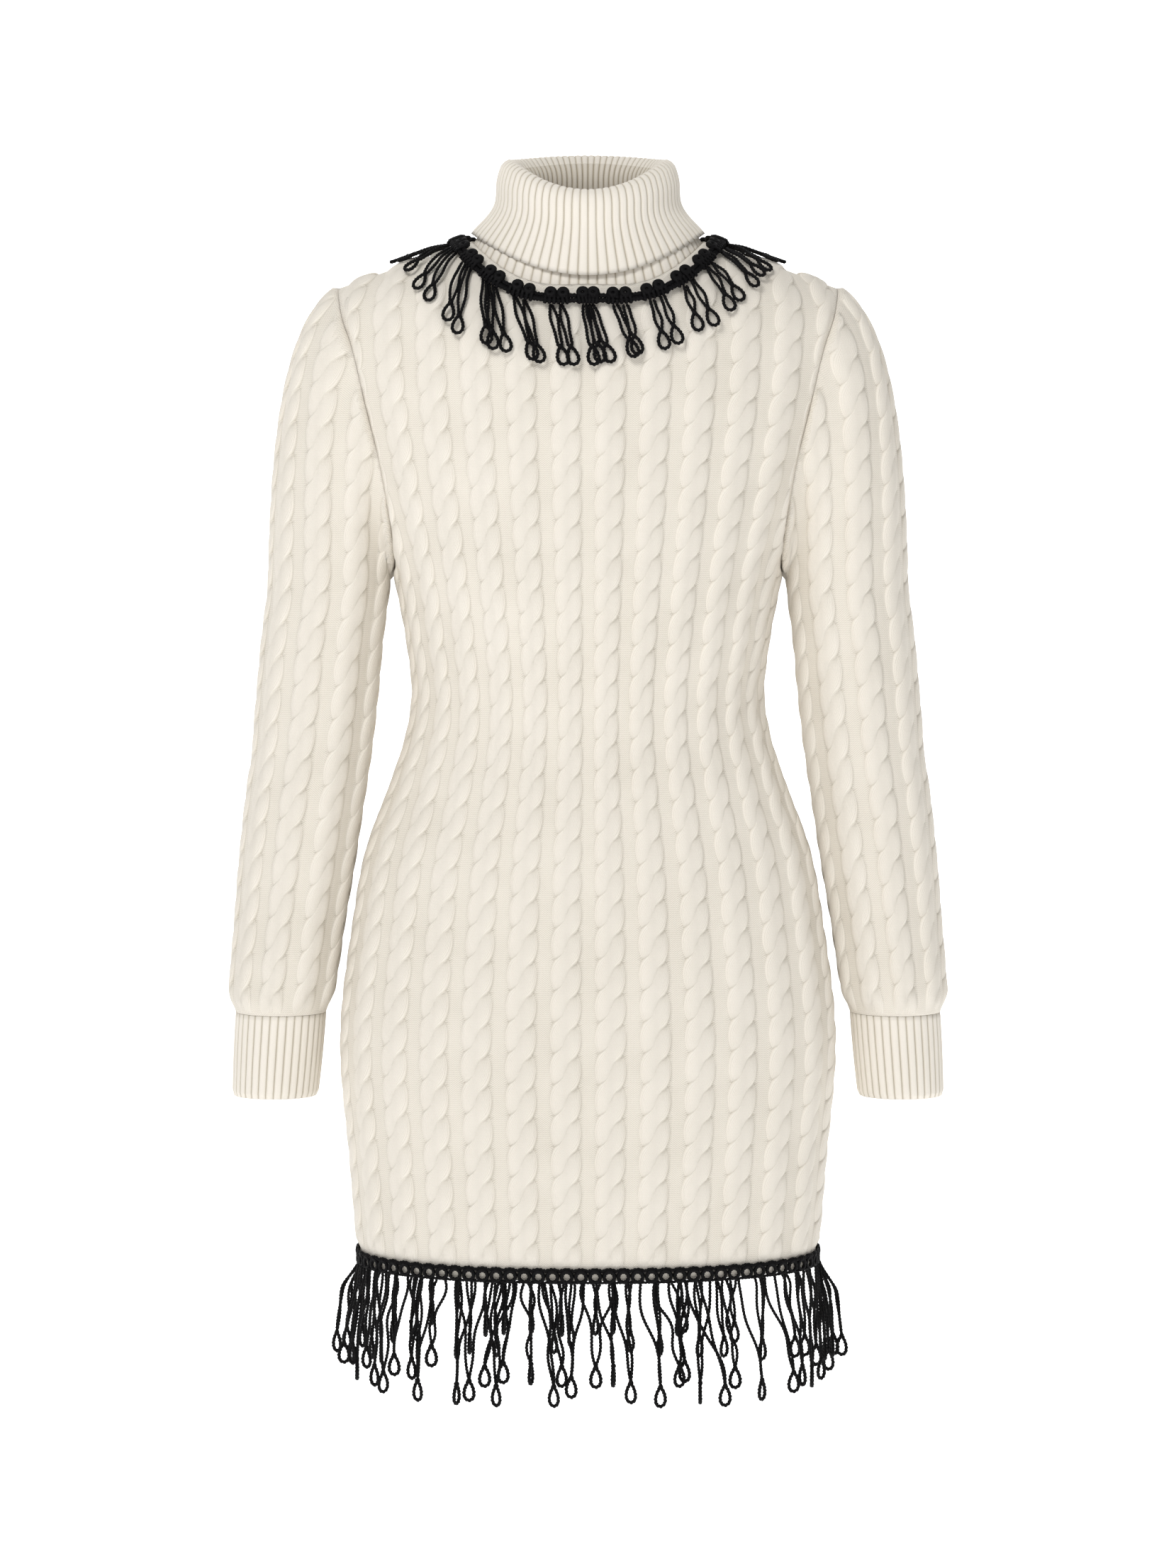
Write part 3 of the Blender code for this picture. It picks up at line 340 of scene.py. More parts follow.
# ridge, stitch and inside are painted shade: darker valleys between ribs, stitch hollows and the inside of
# the collar and cuffs; fibres and drift are the yarn's own tone
RIB_SHADE = {"ridge": 0.62, "fibres": 0.20, "drift": 0.14, "stitch": 0.06, "inside": -0.20}
# stitch is painted shade in the grooves between the plies; fibres is the yarn's own tone
CROCHET_SHADE = {"stitch": 0.6, "fibres": 0.4}
KNIT_RAMP = ((0.0, KNIT_SHADED), (0.38, KNIT_MIDDLE), (0.74, KNIT_TOP))
RIB_RAMP = ((0.26, RIB_VALLEY_SHADE), (0.70, KNIT_MIDDLE), (0.95, KNIT_TOP))
CROCHET_RAMP = ((0.1, BLACK_SHADED), (0.9, BLACK_TOP))

# Stage, lights and camera.
STAGE_SIZE = 18
STAGE_WHITE = (0.93, 0.93, 0.93)
STAGE_GLOW = 0.75
FLOOR_Z = -1.25
BACKDROP_Y = 6.8
WORLD_LIGHT = 0.39
LIGHTS = (              # name, place, target, size, power
    ("key", (-0.8, -1.75, 1.6), (0, 0, -0.20), 1.0, 33),
    ("fill", (2.6, -3.0, 0.2), (0, 0, -0.4), 2.5, 10),
)
CAMERA = {"place": (0.0, -4.0, -0.0567), "down": 3.016, "lens": 120.9, "sensor": 36.0, "shift": -0.12}


# Curves and surfaces.

def hermite(t, length, values, slopes):
    """A smooth curve between two values with the slopes given, a length apart."""
    return ((1 + 2 * t) * (1 - t) ** 2 * values[0] + t * (1 - t) ** 2 * length * slopes[0]
            + t * t * (3 - 2 * t) * values[1] - t * t * (1 - t) * length * slopes[1])


def smooth(rows, column, at):
    """A table's column at the heights given, on a smooth curve through its rows."""
    height, value = rows[:, 0], rows[:, column]
    slope = np.gradient(value, height)
    i = np.clip(np.searchsorted(height, at) - 1, 0, len(height) - 2)
    step = height[i + 1] - height[i]
    t = np.clip((at - height[i]) / step, 0, 1)
    return hermite(t, step, (value[i], value[i + 1]), (slope[i], slope[i + 1]))


def ease(value):
    """0 below 0, 1 above 1 and a soft rise between."""
    share = np.clip(value, 0, 1)
    return share * share * (3 - 2 * share)


def between(value, ends):
    """0 before the first end, 1 past the second and a soft rise between."""
    return ease((value - ends[0]) / (ends[1] - ends[0]))


def unit(vectors):
    return vectors / np.maximum(np.linalg.norm(vectors, axis=-1, keepdims=True), 1e-12)


def lengths_along(points):
    return np.append(0, np.cumsum(np.linalg.norm(np.diff(points, axis=0), axis=1)))


def shoulder_height(x):
    return SHOULDER_TIP_Z + SHOULDER_SLOPE * (SHOULDER_TIP_X - np.hypot(x, NECK_SOFTEN))


def half_section(half_width, depth, count):
    """The front half of a body section, side to side, as evenly spaced x and y."""
    angle = np.linspace(-math.pi / 2, math.pi / 2, 8 * count)
    x = half_width * np.sign(angle) * np.abs(np.sin(angle)) ** SQUARENESS
    y = -depth * np.abs(np.cos(angle)) ** SQUARENESS
    length = lengths_along(np.stack([x, y], axis=1))
    even = np.linspace(0, length[-1], count)
    return np.interp(even, length, x), np.interp(even, length, y)


def armhole_depth(z, side):
    top = shoulder_height(SHOULDER_TIP_X)
    share = np.clip(2 * (z - UNDERARM_Z) / (top - UNDERARM_Z) - 1, -1, 1)
    return SIDES[side]["armhole"] * (1 - np.abs(share) ** ARMHOLE_ROUNDNESS) ** (1 / ARMHOLE_ROUNDNESS)


class Surface:
    """A knitted surface stored as a fine grid, read at any share across and any length up."""

    def __init__(self, points, up, width, closed=False):
        """points[i, j] lie at across i and at the length up[i, j]; a closed one goes all round."""
        columns = len(points)
        self.width = width
        self.across = np.linspace(0, 1, columns)
        self.tops = up[:, -1]
        self.step = 0.002
        self.up = np.arange(up.min(), up.max() + self.step, self.step)
        normals = unit(np.cross(np.gradient(points, axis=0), np.gradient(points, axis=1)))
        if closed:
            normals[0] = normals[-1] = unit(normals[0] + normals[-1])
        raw = np.concatenate([points, normals], axis=2)
        beyond = raw[:, -1:].copy()
        length = up[:, -1:, None] - up[:, -2:-1, None]
        beyond[..., :3] += (raw[:, -1:, :3] - raw[:, -2:-1, :3]) / length * OVERRUN
        raw = np.concatenate([raw, beyond], axis=1)
        up = np.concatenate([up, up[:, -1:] + OVERRUN], axis=1)
        self.grid = np.stack([
            np.stack([np.interp(self.up, up[i], raw[i, :, k]) for k in range(6)], axis=1)
            for i in range(columns)
        ])

    def read(self, across, up):
        """Points and outward normals."""
        across, up = np.asarray(across, float), np.asarray(up, float)
        i_at = np.clip(across, 0, 1) * (len(self.across) - 1)
        j_at = np.clip((up - self.up[0]) / self.step, 0, len(self.up) - 1)
        i = np.minimum(i_at.astype(int), len(self.across) - 2)
        j = np.minimum(j_at.astype(int), len(self.up) - 2)
        s, t = (i_at - i)[..., None], (j_at - j)[..., None]
        g = self.grid
        low = g[i, j] * (1 - s) + g[i + 1, j] * s
        high = g[i, j + 1] * (1 - s) + g[i + 1, j + 1] * s
        both = low * (1 - t) + high * t
        point, normal = both[..., :3].copy(), unit(both[..., 3:])
        point[..., 2] += np.minimum(up - self.up[0], 0)
        return point, normal

    def at(self, place):
        """Points and outward normals at (across, up) places, none of them past the top edge."""
        up = np.minimum(place[..., 1], self.top(place[..., 0]))
        return self.read(place[..., 0], up)

    def top(self, across):
        """The length up to the surface's top edge."""
        return np.interp(across, self.across, self.tops)

    def nearest(self, x, z):
        """The place whose point lies nearest to an x and z, seen from the front or the back."""
        away = (self.grid[..., 0] - x) ** 2 + (self.grid[..., 2] - z) ** 2
        i, j = np.unravel_index(int(np.argmin(away)), away.shape)
        return np.array((self.across[i], self.up[j]))

    def nearest_on(self, point):
        """The place whose point lies nearest to a point."""
        away = ((self.grid[..., :3] - point) ** 2).sum(axis=2)
        i, j = np.unravel_index(int(np.argmin(away)), away.shape)
        return np.array((self.across[i], self.up[j]))

    def fold(self, folds):
        """Moves the surface in and out along soft folds: start and end places, width, rise."""
        flat = np.stack(np.meshgrid(self.across * self.width, self.up, indexing="ij"), axis=2)
        for start, end, width, rise in folds:
            a = np.array(start) * (self.width, 1.0)
            along = np.array(end) * (self.width, 1.0) - a
            t = ((flat - a) @ along) / (along @ along)
            away = np.linalg.norm(flat - a - np.clip(t, 0, 1)[..., None] * along, axis=2)
            fade = np.clip(4 * t * (1 - t), 0, 1) ** 0.7
            lift = rise * fade * np.exp(-(away / width) ** 2)
            self.grid[..., :3] += self.grid[..., 3:] * lift[..., None]

    def mirrored(self):
        """The same surface on the other side of the middle."""
        other = Surface.__new__(Surface)
        other.__dict__.update(self.__dict__)
        other.grid = self.grid[::-1] * (-1, 1, 1, -1, 1, 1)
        other.tops = self.tops[::-1]
        return other


def body_panel(side, columns=193):
    """The surface of the front or back, with its armhole and neck lines."""
    depth_column, turn = SIDES[side]["depth"], SIDES[side]["turn"]
    below = np.linspace(HEM_Z, UNDERARM_Z, 120)
    rows = []
    for z in below:
        x, y = half_section(smooth(TORSO, 1, z), smooth(TORSO, depth_column, z), columns)
        rows.append(np.stack([x, y, np.full(columns, z)], axis=1))
    roundness = SIDES[side]["roundness"]
    depth = smooth(TORSO, depth_column, UNDERARM_Z)
    for angle in np.linspace(0, math.pi / 2, 90)[1:]:
        share = math.sin(angle) ** (2 / roundness)
        inward = max(math.cos(angle), 0.0) ** (2 / roundness)
        x, y = half_section(smooth(YOKE, 1, share), depth * inward, columns)
        z = UNDERARM_Z + (shoulder_height(x) - UNDERARM_Z) * share
        rows.append(np.stack([x, y, z], axis=1))
    points = np.stack(rows, axis=1)
    lengths = np.linalg.norm(np.diff(points[:, len(below) - 1:], axis=1), axis=2)
    up = np.concatenate([
        np.tile(below - HEM_Z, (columns, 1)),
        UNDERARM_Z - HEM_Z + np.cumsum(lengths, axis=1),
    ], axis=1)
    armhole, neck = panel_borders(points, up, side, len(below) - 1)
    surface = Surface(points * (turn, turn, 1.0), up, BODY_WIDTH)
    return surface, spaced(spaced(armhole, surface, 0.001), surface, 0.001), neck


def panel_borders(points, up, side, first):
    """Armhole and neck edges as places: the armhole from the underarm up, the neck from its side."""
    across = np.linspace(0, 1, len(points))
    middle = len(points) // 2
    armhole = [(0.0, up[0, first])]
    for j in range(first + 1, points.shape[1] - 2):
        depth = -points[:middle, j, 1]
        past = depth - armhole_depth(points[:middle, j, 2], side)
        i = int(np.argmax(past > 0))
        part = past[i - 1] / (past[i - 1] - past[i])
        armhole.append((across[i - 1] + part * (across[i] - across[i - 1]),
                        up[i - 1, j] + part * (up[i, j] - up[i - 1, j])))
    tip = float(np.interp(-SHOULDER_TIP_X, points[:middle + 1, -1, 0], across[:middle + 1]))
    armhole.append((tip, float(np.interp(tip, across, up[:, -1]))))
    side_x = float(np.interp(-NECK_HALF_WIDTH, points[:middle + 1, -1, 0], across[:middle + 1]))
    neck = [(side_x, float(np.interp(side_x, across, up[:, -1])))]
    for i in range(middle + 1):
        if across[i] <= side_x + 0.002:
            continue
        x, y = np.abs(points[i, first:, 0]), np.abs(points[i, first:, 1])
        inside = (x / NECK_HALF_WIDTH) ** NECK_SQUARENESS + (y / NECK_DEPTHS[side]) ** NECK_SQUARENESS - 1
        j = int(np.argmax(inside < 0))
        part = inside[j - 1] / (inside[j - 1] - inside[j])
        rows = up[i, first:]
        neck.append((across[i], rows[j - 1] + part * (rows[j] - rows[j - 1])))
    return np.array(armhole), np.array(neck)


def spaced(line, surface, step):
    """A line of (across, up) rows, resampled to about a step on the surface."""
    length = lengths_along(surface.read(line[:, 0], line[:, 1])[0])
    even = np.linspace(0, length[-1], max(2, round(length[-1] / step) + 1))
    return np.stack([np.interp(even, length, line[:, k]) for k in (0, 1)], axis=1)


def mirrored(line):
    return np.stack([1 - line[::-1, 0], line[::-1, 1]], axis=1)


def armhole_points(front, back, share):
    """Points of the right armhole's seam for shares round it, from the underarm over the front."""
    halves = []
    for (surface, armhole, _), flipped in ((front, True), (back, False)):
        across = 1 - armhole[:, 0] if flipped else armhole[:, 0]
        points, _ = surface.read(across, armhole[:, 1])
        length = lengths_along(points)
        halves.append((points, length / length[-1]))
    made = []
    for s in share:
        points, along = halves[0] if s <= 0.5 else halves[1]
        part = 1 - abs(1 - 2 * s) ** CAP_CROWDING
        made.append([np.interp(part, along, points[:, k]) for k in range(3)])
    return np.array(made) + (SEAM_GAP, 0.0, 0.0)


def sleeve_surface(front, back, columns=321):
    """The right sleeve: rings up to the underarm, then curves over the cap to the armhole seam."""
    share = np.linspace(0, 1, columns)
    below = np.linspace(SLEEVE_END_Z, SLEEVE_TOP_Z, 80)
    centre, wide, deep = (smooth(SLEEVE, k, below) for k in (1, 2, 3))
    turn = 2 * math.pi * share[:, None]
    rings = np.stack([centre - wide * np.cos(turn), -deep * np.sin(turn),
                      np.broadcast_to(below, (columns, len(below)))], axis=2)
    armhole = armhole_points(front, back, share)
    start = rings[:, -1]
    chord = np.linalg.norm(armhole - start, axis=1, keepdims=True)
    toward = unit(armhole - start)
    blend = np.sin(math.pi * share[:, None]) ** 2
    arrival = unit(toward * (1 - blend) + np.array(CAP_ARRIVAL) * blend)
    knots = [start, start + np.array((-0.02, 0.0, 1.0)) * chord * CAP_LIFT[0],
             armhole - arrival * chord * CAP_LIFT[1], armhole]
    weights = np.linspace(0, 1, 60)[1:]
    cap = np.stack([(1 - t) ** 3 * knots[0] + 3 * t * (1 - t) ** 2 * knots[1]
                    + 3 * t * t * (1 - t) * knots[2] + t ** 3 * knots[3] for t in weights], axis=1)
    points = np.concatenate([rings, cap], axis=1)
    lengths = np.linalg.norm(np.diff(points[:, len(below) - 1:], axis=1), axis=2)
    up = np.concatenate([np.tile(below - SLEEVE_END_Z, (columns, 1)),
                         below[-1] - SLEEVE_END_Z + np.cumsum(lengths, axis=1)], axis=1)
    return Surface(points, up, SLEEVE_WIDTH, closed=True)


# Meshes.

def build_object(name, points, faces, surfaces, crease_shades=None):
    """An object from points and a list of face blocks, each with its UV rows and its kind of surface."""
    corners = np.concatenate([block.ravel() for block in faces])
    sizes = np.concatenate([np.full(len(block), block.shape[1]) for block in faces])
    mesh = bpy.data.meshes.new(name)
    mesh.vertices.add(len(points))
    mesh.vertices.foreach_set("co", np.asarray(points, np.float32).ravel())
    mesh.loops.add(len(corners))
    mesh.loops.foreach_set("vertex_index", corners.astype(np.int32))
    mesh.polygons.add(len(sizes))
    mesh.polygons.foreach_set("loop_start", np.append(0, np.cumsum(sizes)[:-1]).astype(np.int32))
    mesh.polygons.foreach_set("loop_total", sizes.astype(np.int32))
    mesh.polygons.foreach_set("use_smooth", np.ones(len(sizes), bool))
    places = mesh.uv_layers.new(name="stitches")
    uv_rows = np.concatenate([uv.reshape(-1, 2) for uv, _ in surfaces])
    places.data.foreach_set("uv", uv_rows.astype(np.float32).ravel())
    # per corner: the purl ground and plain parts of the knitting, and the inside of the ribbing; the
    # materials paint shade over these, and purl rows on the ground
    ground = mesh.attributes.new("ground", "FLOAT", "CORNER")
    kinds = np.concatenate([np.full(block.size, kind, np.float32) if np.isscalar(kind)
                            else np.repeat(kind, block.shape[1]).astype(np.float32)
                            for block, (_, kind) in zip(faces, surfaces)])
    ground.data.foreach_set("value", kinds)
    # painted shade in the cable creases, kept on each point for the base colour
    if crease_shades is not None:
        deep = mesh.attributes.new("crease_shade", "FLOAT", "POINT")
        deep.data.foreach_set("value", np.asarray(crease_shades, np.float32))
    mesh.update(calc_edges=True)
    mesh.validate()
    made = bpy.data.objects.new(name, mesh)
    bpy.context.scene.collection.objects.link(made)
    return made


def join_points(made, distance=0.00001):
    """Makes the points that coincide one, as along a closing seam."""
    shape = bmesh.new()
    shape.from_mesh(made.data)
    bmesh.ops.remove_doubles(shape, verts=shape.verts, dist=distance)
    shape.to_mesh(made.data)
    shape.free()


def crossings(points, starts, ends):
    """True for the points inside the loops that the segments make."""
    inside = np.zeros(len(points), bool)
    x0, y0, x1, y1 = starts[:, 0], starts[:, 1], ends[:, 0], ends[:, 1]
    rise = np.where(y1 == y0, 1.0, y1 - y0)
    for first in range(0, len(points), 4000):
        x, y = points[first:first + 4000, None, 0], points[first:first + 4000, None, 1]
        spans = (y0 > y) != (y1 > y)
        inside[first:first + 4000] = (spans & (x < x0 + (y - y0) * (x1 - x0) / rise)).sum(axis=1) % 2 == 1
    return inside


def distance_to(points, starts, ends):
    """Distance from each point to the nearest segment."""
    along = ends - starts
    squared = np.maximum((along ** 2).sum(axis=1), 1e-18)
    found = np.empty(len(points))
    for first in range(0, len(points), 4000):
        from_start = points[first:first + 4000, None] - starts
        t = np.clip((from_start * along).sum(axis=2) / squared, 0, 1)
        away = from_start - t[..., None] * along
        found[first:first + 4000] = np.sqrt((away ** 2).sum(axis=2).min(axis=1))
    return found


def constrained(points, edges):
    """Triangles of a constrained Delaunay triangulation, all turned the same way."""
    found = delaunay_2d_cdt([Vector(p) for p in points], edges, [], 0, 1e-9, True)
    source = [ids[0] for ids in found[3]]
    faces = np.array([[source[i] for i in face] for face in found[2]])
    a, b, c = (points[faces[:, i]] for i in range(3))
    ab, ac = b - a, c - a
    area = ab[:, 0] * ac[:, 1] - ab[:, 1] * ac[:, 0]
    faces = faces[np.abs(area) > 1e-12]
    area = area[np.abs(area) > 1e-12]
    faces[area < 0] = faces[area < 0][:, ::-1]
    return faces


def outline_edges(faces, count):
    """Directed edges that only one face has."""
    sides = faces.shape[1]
    edges = np.concatenate([faces[:, [k, (k + 1) % sides]] for k in range(sides)])
    keys = edges[:, 0].astype(np.int64) * count + edges[:, 1]
    back = edges[:, 1].astype(np.int64) * count + edges[:, 0]
    return edges[~np.isin(keys, back)]


def loop_of(first, count):
    numbers = first + np.arange(count)
    return numbers, np.roll(numbers, -1)


# Cable knitting.

def strand_rise(t):
    """How far a groove has climbed across a cable, as a share of its whole climb."""
    steep = 0.5 + 0.5 * np.tanh(CROSS_STEEPNESS * (t - 0.5)) / math.tanh(CROSS_STEEPNESS / 2)
    return (t + steep) / 2


def wale_share(t, w):
    """Which wale of its strand a place lies in, from 0 on its lower right side to 1 on its upper left."""
    return (1 - w) * np.maximum(0, 1 - 2 * t) + w * np.minimum(1, 2 - 2 * t)


def strand_skew(t, w):
    """Where a place lies between its strand's two grooves, from -1 to 1, with 0 on the leaning crest."""
    return (2 * w - 1 - CREST * (1 - 2 * t)) / (1 + CREST)


def cable_height(t, w):
    """Height of a cable over the ground: t across it, w from one groove to the next.

    On the left a strand is highest below the groove over it, and on the right above the groove under it,
    so each lies over its neighbour on one half of the groove and under it on the other.
    """
    edge = (1 - np.abs(2 * t - 1) ** EDGE_ROUNDNESS) ** EDGE_FULLNESS
    skew = strand_skew(t, w)
    depth = LEFT_DEPTH + (1 - LEFT_DEPTH) * between(t, LEFT_ENDS)
    return CABLE_RISE * edge * (1 - (1 - GROOVE_LEVEL) * depth * skew * skew)


def cable_crease_shade(t, w):
    """How much painted shade a place gets, from 0 to 1: in the crease beside a groove and along the right
    edge.
    """
    skew = strand_skew(t, w)
    deepest = between(t, CREASE_SHADE_STARTS) * (1 - CREASE_SHADE_FADES * between(t, CREASE_SHADE_ENDS))
    along = CREASE_SHADE_LEFT + (1 - CREASE_SHADE_LEFT) * deepest
    line, shade = np.abs(skew) ** 9, np.abs(skew) ** 3
    under = along * (CREASE_SHADE_LINE * line + (1 - CREASE_SHADE_LINE) * shade)
    return np.maximum(under, EDGE_SHADE * between(t, EDGE_SHADE_AT))


def cable_stations(columns):
    """Lines up the cables and the ground between: across, place in the cable, climb, is a cable's."""
    half = CABLE_SHARE / 2
    lean = (1 - CROSS_RISE) / 2
    rows = [(0.0, 0.0, -lean, False), ((0.5 - half) / 2 / columns, 0.0, -lean / 2, False)]
    for column in range(columns):
        middle = column + 0.5
        for t in CABLE_STATIONS:
            place = (middle + (t - 0.5) * CABLE_SHARE) / columns
            rows.append((place, t, column + CROSS_RISE * strand_rise(t), True))
        if column + 1 < columns:
            rows += [((middle + half + g * (1 - CABLE_SHARE)) / columns, 0.0,
                      column + CROSS_RISE + g * (1 - CROSS_RISE), False) for g in GROUND_STATIONS]
    last = columns - 1 + CROSS_RISE
    rows += [((columns - (0.5 - half) / 2) / columns, 0.0, last + lean / 2, False),
             (1.0, 0.0, last + lean, False)]
    across, t, climb, cable = zip(*rows)
    return np.array(across), np.array(t), np.array(climb), np.array(cable)


def cable_grid(columns, repeat, highest, width):
    """A grid that follows the strands: flat points, heights, painted crease shade, quads, stitch places and
    kinds.
    """
    across, t, climb, cable = cable_stations(columns)
    phases = np.array(PHASE_STATIONS)
    rows = len(phases) - 1
    repeats = np.arange(-columns - 2, int(highest / repeat) + 2)
    phase = np.tile(phases[:-1], len(repeats))
    level = (repeats[:, None] + phases[None, :-1]).ravel()
    up = (level[None] + climb[:, None]) * repeat
    swell = (t - 0.5) * cable * SCALLOP * CABLE_SHARE / columns
    scallop = np.sin(math.pi * phase) ** SCALLOP_FULLNESS - SCALLOP_LEVEL
    flat_across = across[:, None] + swell[:, None] * scallop[None]
    height = np.where(cable[:, None], cable_height(t[:, None], phase[None]), 0.0)
    crease_shade = np.where(cable[:, None], cable_crease_shade(t[:, None], phase[None]), 0.0)
    count_i, count_j = up.shape
    number = np.arange(count_i * count_j).reshape(count_i, count_j)
    quads = np.stack([number[:-1, :-1], number[1:, :-1], number[1:, 1:], number[:-1, 1:]], axis=2)
    in_cable = cable[:-1] & cable[1:]
    low, high = np.arange(count_j - 1) % rows, np.arange(count_j - 1) % rows + 1

    def wale(line, row):
        return wale_share(t[line][:, None], phases[row][None]) * STRAND_WALES

    lines = np.arange(count_i)
    left, right = lines[:-1], lines[1:]
    corners = ((left, low), (right, low), (right, high), (left, high))
    cable_wale = np.stack([wale(*corner) for corner in corners], axis=2)
    pitch = (1 - CABLE_SHARE) / columns / GROUND_WALES
    ground_wale = np.stack([across[line] for line, _ in corners], axis=1)[:, None] / pitch
    u = np.where(in_cable[:, None, None], cable_wale, ground_wale)
    v = np.stack([up[:-1, :-1], up[1:, :-1], up[1:, 1:], up[:-1, 1:]], axis=2) / COURSE
    places = np.stack([u, v], axis=3)
    kinds = np.broadcast_to(~in_cable[:, None], u.shape[:2]).astype(float)
    points = np.stack([flat_across.ravel() * width, up.ravel()], axis=1)
    faces = (quads.reshape(-1, 4), places.reshape(-1, 4, 2), kinds.ravel())
    return points, height.ravel(), crease_shade.ravel(), *faces


def trimmed_grid(surface, grid, starts, ends):
    """The part of a cable grid that lies well inside the border, renumbered."""
    flat, height, crease_shade, quads, places, kinds = grid
    clear = (flat[:, 0] > EDGE_MARGIN) & (flat[:, 0] < surface.width - EDGE_MARGIN)
    clear &= (flat[:, 1] > EDGE_MARGIN) & (flat[:, 1] < surface.up[-1])
    some = np.flatnonzero(clear)
    clear[some] = crossings(flat[some], starts, ends)
    some = np.flatnonzero(clear)
    clear[some] = distance_to(flat[some], *coarse(starts)) > BORDER_MARGIN
    keep = clear[quads].all(axis=1)
    used, quads = np.unique(quads[keep], return_inverse=True)
    return flat[used], height[used], crease_shade[used], quads.reshape(-1, 4), places[keep], kinds[keep]


def coarse(starts):
    """Segments through every fourth point of a border."""
    some = starts[::4]
    return some, np.roll(some, -1, axis=0)


def border_fill(flat, quads, starts, ends):
    """Triangles between the grid's ragged rim and the border, and their flat places."""
    rim = outline_edges(quads, len(flat))
    rim_points, rim_edges = np.unique(rim, return_inverse=True)
    loop, next_loop = loop_of(len(rim_points), len(starts))
    every = np.concatenate([flat[rim_points], starts])
    fixed = [tuple(edge) for edge in rim_edges.reshape(-1, 2).tolist()]
    fill = constrained(every, fixed + list(zip(loop.tolist(), next_loop.tolist())))
    middle = every[fill].mean(axis=1)
    rim_flat = flat[rim]
    on_grid = crossings(middle, rim_flat[:, 0], rim_flat[:, 1])
    fill = fill[crossings(middle, starts, ends) & ~on_grid]
    number = np.concatenate([rim_points, len(flat) + np.arange(len(starts))])
    return number[fill], every[fill] / COURSE


def plain_lining(surface, starts, ends):
    """Points and triangles of the plain inside, with the border's points last, and their flat places."""
    scale = np.array([surface.width, 1.0])
    step_u = LINING_STEP / surface.width
    grid = np.meshgrid(np.arange(step_u / 2, 1, step_u),
                       np.arange(LINING_STEP / 2, surface.up[-1], LINING_STEP), indexing="ij")
    inside = np.stack([side.ravel() for side in grid], axis=1)
    inside = inside[crossings(inside * scale, starts, ends)]
    inside = inside[distance_to(inside * scale, *coarse(starts)) > LINING_MARGIN]
    place, normal = surface.read(inside[:, 0], inside[:, 1])
    every = np.concatenate([inside * scale, starts])
    loop, next_loop = loop_of(len(inside), len(starts))
    back = constrained(every, list(zip(loop.tolist(), next_loop.tolist())))
    back = back[crossings(every[back].mean(axis=1), starts, ends)][:, ::-1]
    return place - normal * WALL, back, every[back] / COURSE


def knitted_wall(name, surface, border, rims, grid, fade, border_shift):
    """A closed wall of cloth: cables on the outside, a plain inside, and a rim along the border."""
    starts = border * (surface.width, 1.0)
    ends = np.roll(starts, -1, axis=0)
    flat, height, crease_shade, quads, places, kinds = trimmed_grid(surface, grid, starts, ends)
    fill, fill_places = border_fill(flat, quads, starts, ends)
    lining, back, back_places = plain_lining(surface, starts, ends)
    across, up = flat[:, 0] / surface.width, flat[:, 1]
    place, normal = surface.read(across, up)
    strength = fade(across, up)
    raised = place + normal * (height * strength)[:, None]
    edge_out, edge_in = border_shift(border)
    first = len(flat) + len(border)
    outer, outer_next = loop_of(len(flat), len(border))
    inner, inner_next = loop_of(first + len(lining), len(border))
    band = np.stack([outer_next, outer, inner, inner_next], axis=1)[rims]
    vertices = np.concatenate([raised, edge_out, lining, edge_in])
    band_places = vertices[band][..., [0, 2]] / COURSE
    # painted shade in the cable creases, fading with the cables
    crease_shades = np.append(crease_shade * strength, np.zeros(len(vertices) - len(flat)))
    surfaces = [(places, kinds), (fill_places, 1.0), (back_places, 1.0), (band_places, 1.0)]
    return build_object(name, vertices, [quads, fill, first + back, band], surfaces, crease_shades)


def faded(edge, distance):
    start, length = FADES[edge]
    return ease((distance - start) / length)


def body_border(surface, armhole, neck):
    """The border of a front or back, all round from the left end of its hem."""
    seam = spaced(np.array([(0.0, -HEM_OVERHANG), (0.0, UNDERARM_Z - HEM_Z)]), surface, SEAM_STEP)
    arm = spaced(armhole, surface, ARMHOLE_STEP)
    across = np.linspace(armhole[-1, 0], neck[0, 0], SHOULDER_POINTS)
    shoulder = np.stack([across, surface.top(across)], axis=1)
    left = np.concatenate([seam[:-1], arm[:-1], shoulder[:-1], spaced(neck, surface, NECK_STEP)])
    hem = np.stack([np.linspace(0, 1, HEM_POINTS), np.full(HEM_POINTS, -HEM_OVERHANG)], axis=1)
    return np.concatenate([hem[:-1], left * (-1.0, 1.0) + (1.0, 0.0), left[-2:0:-1]])


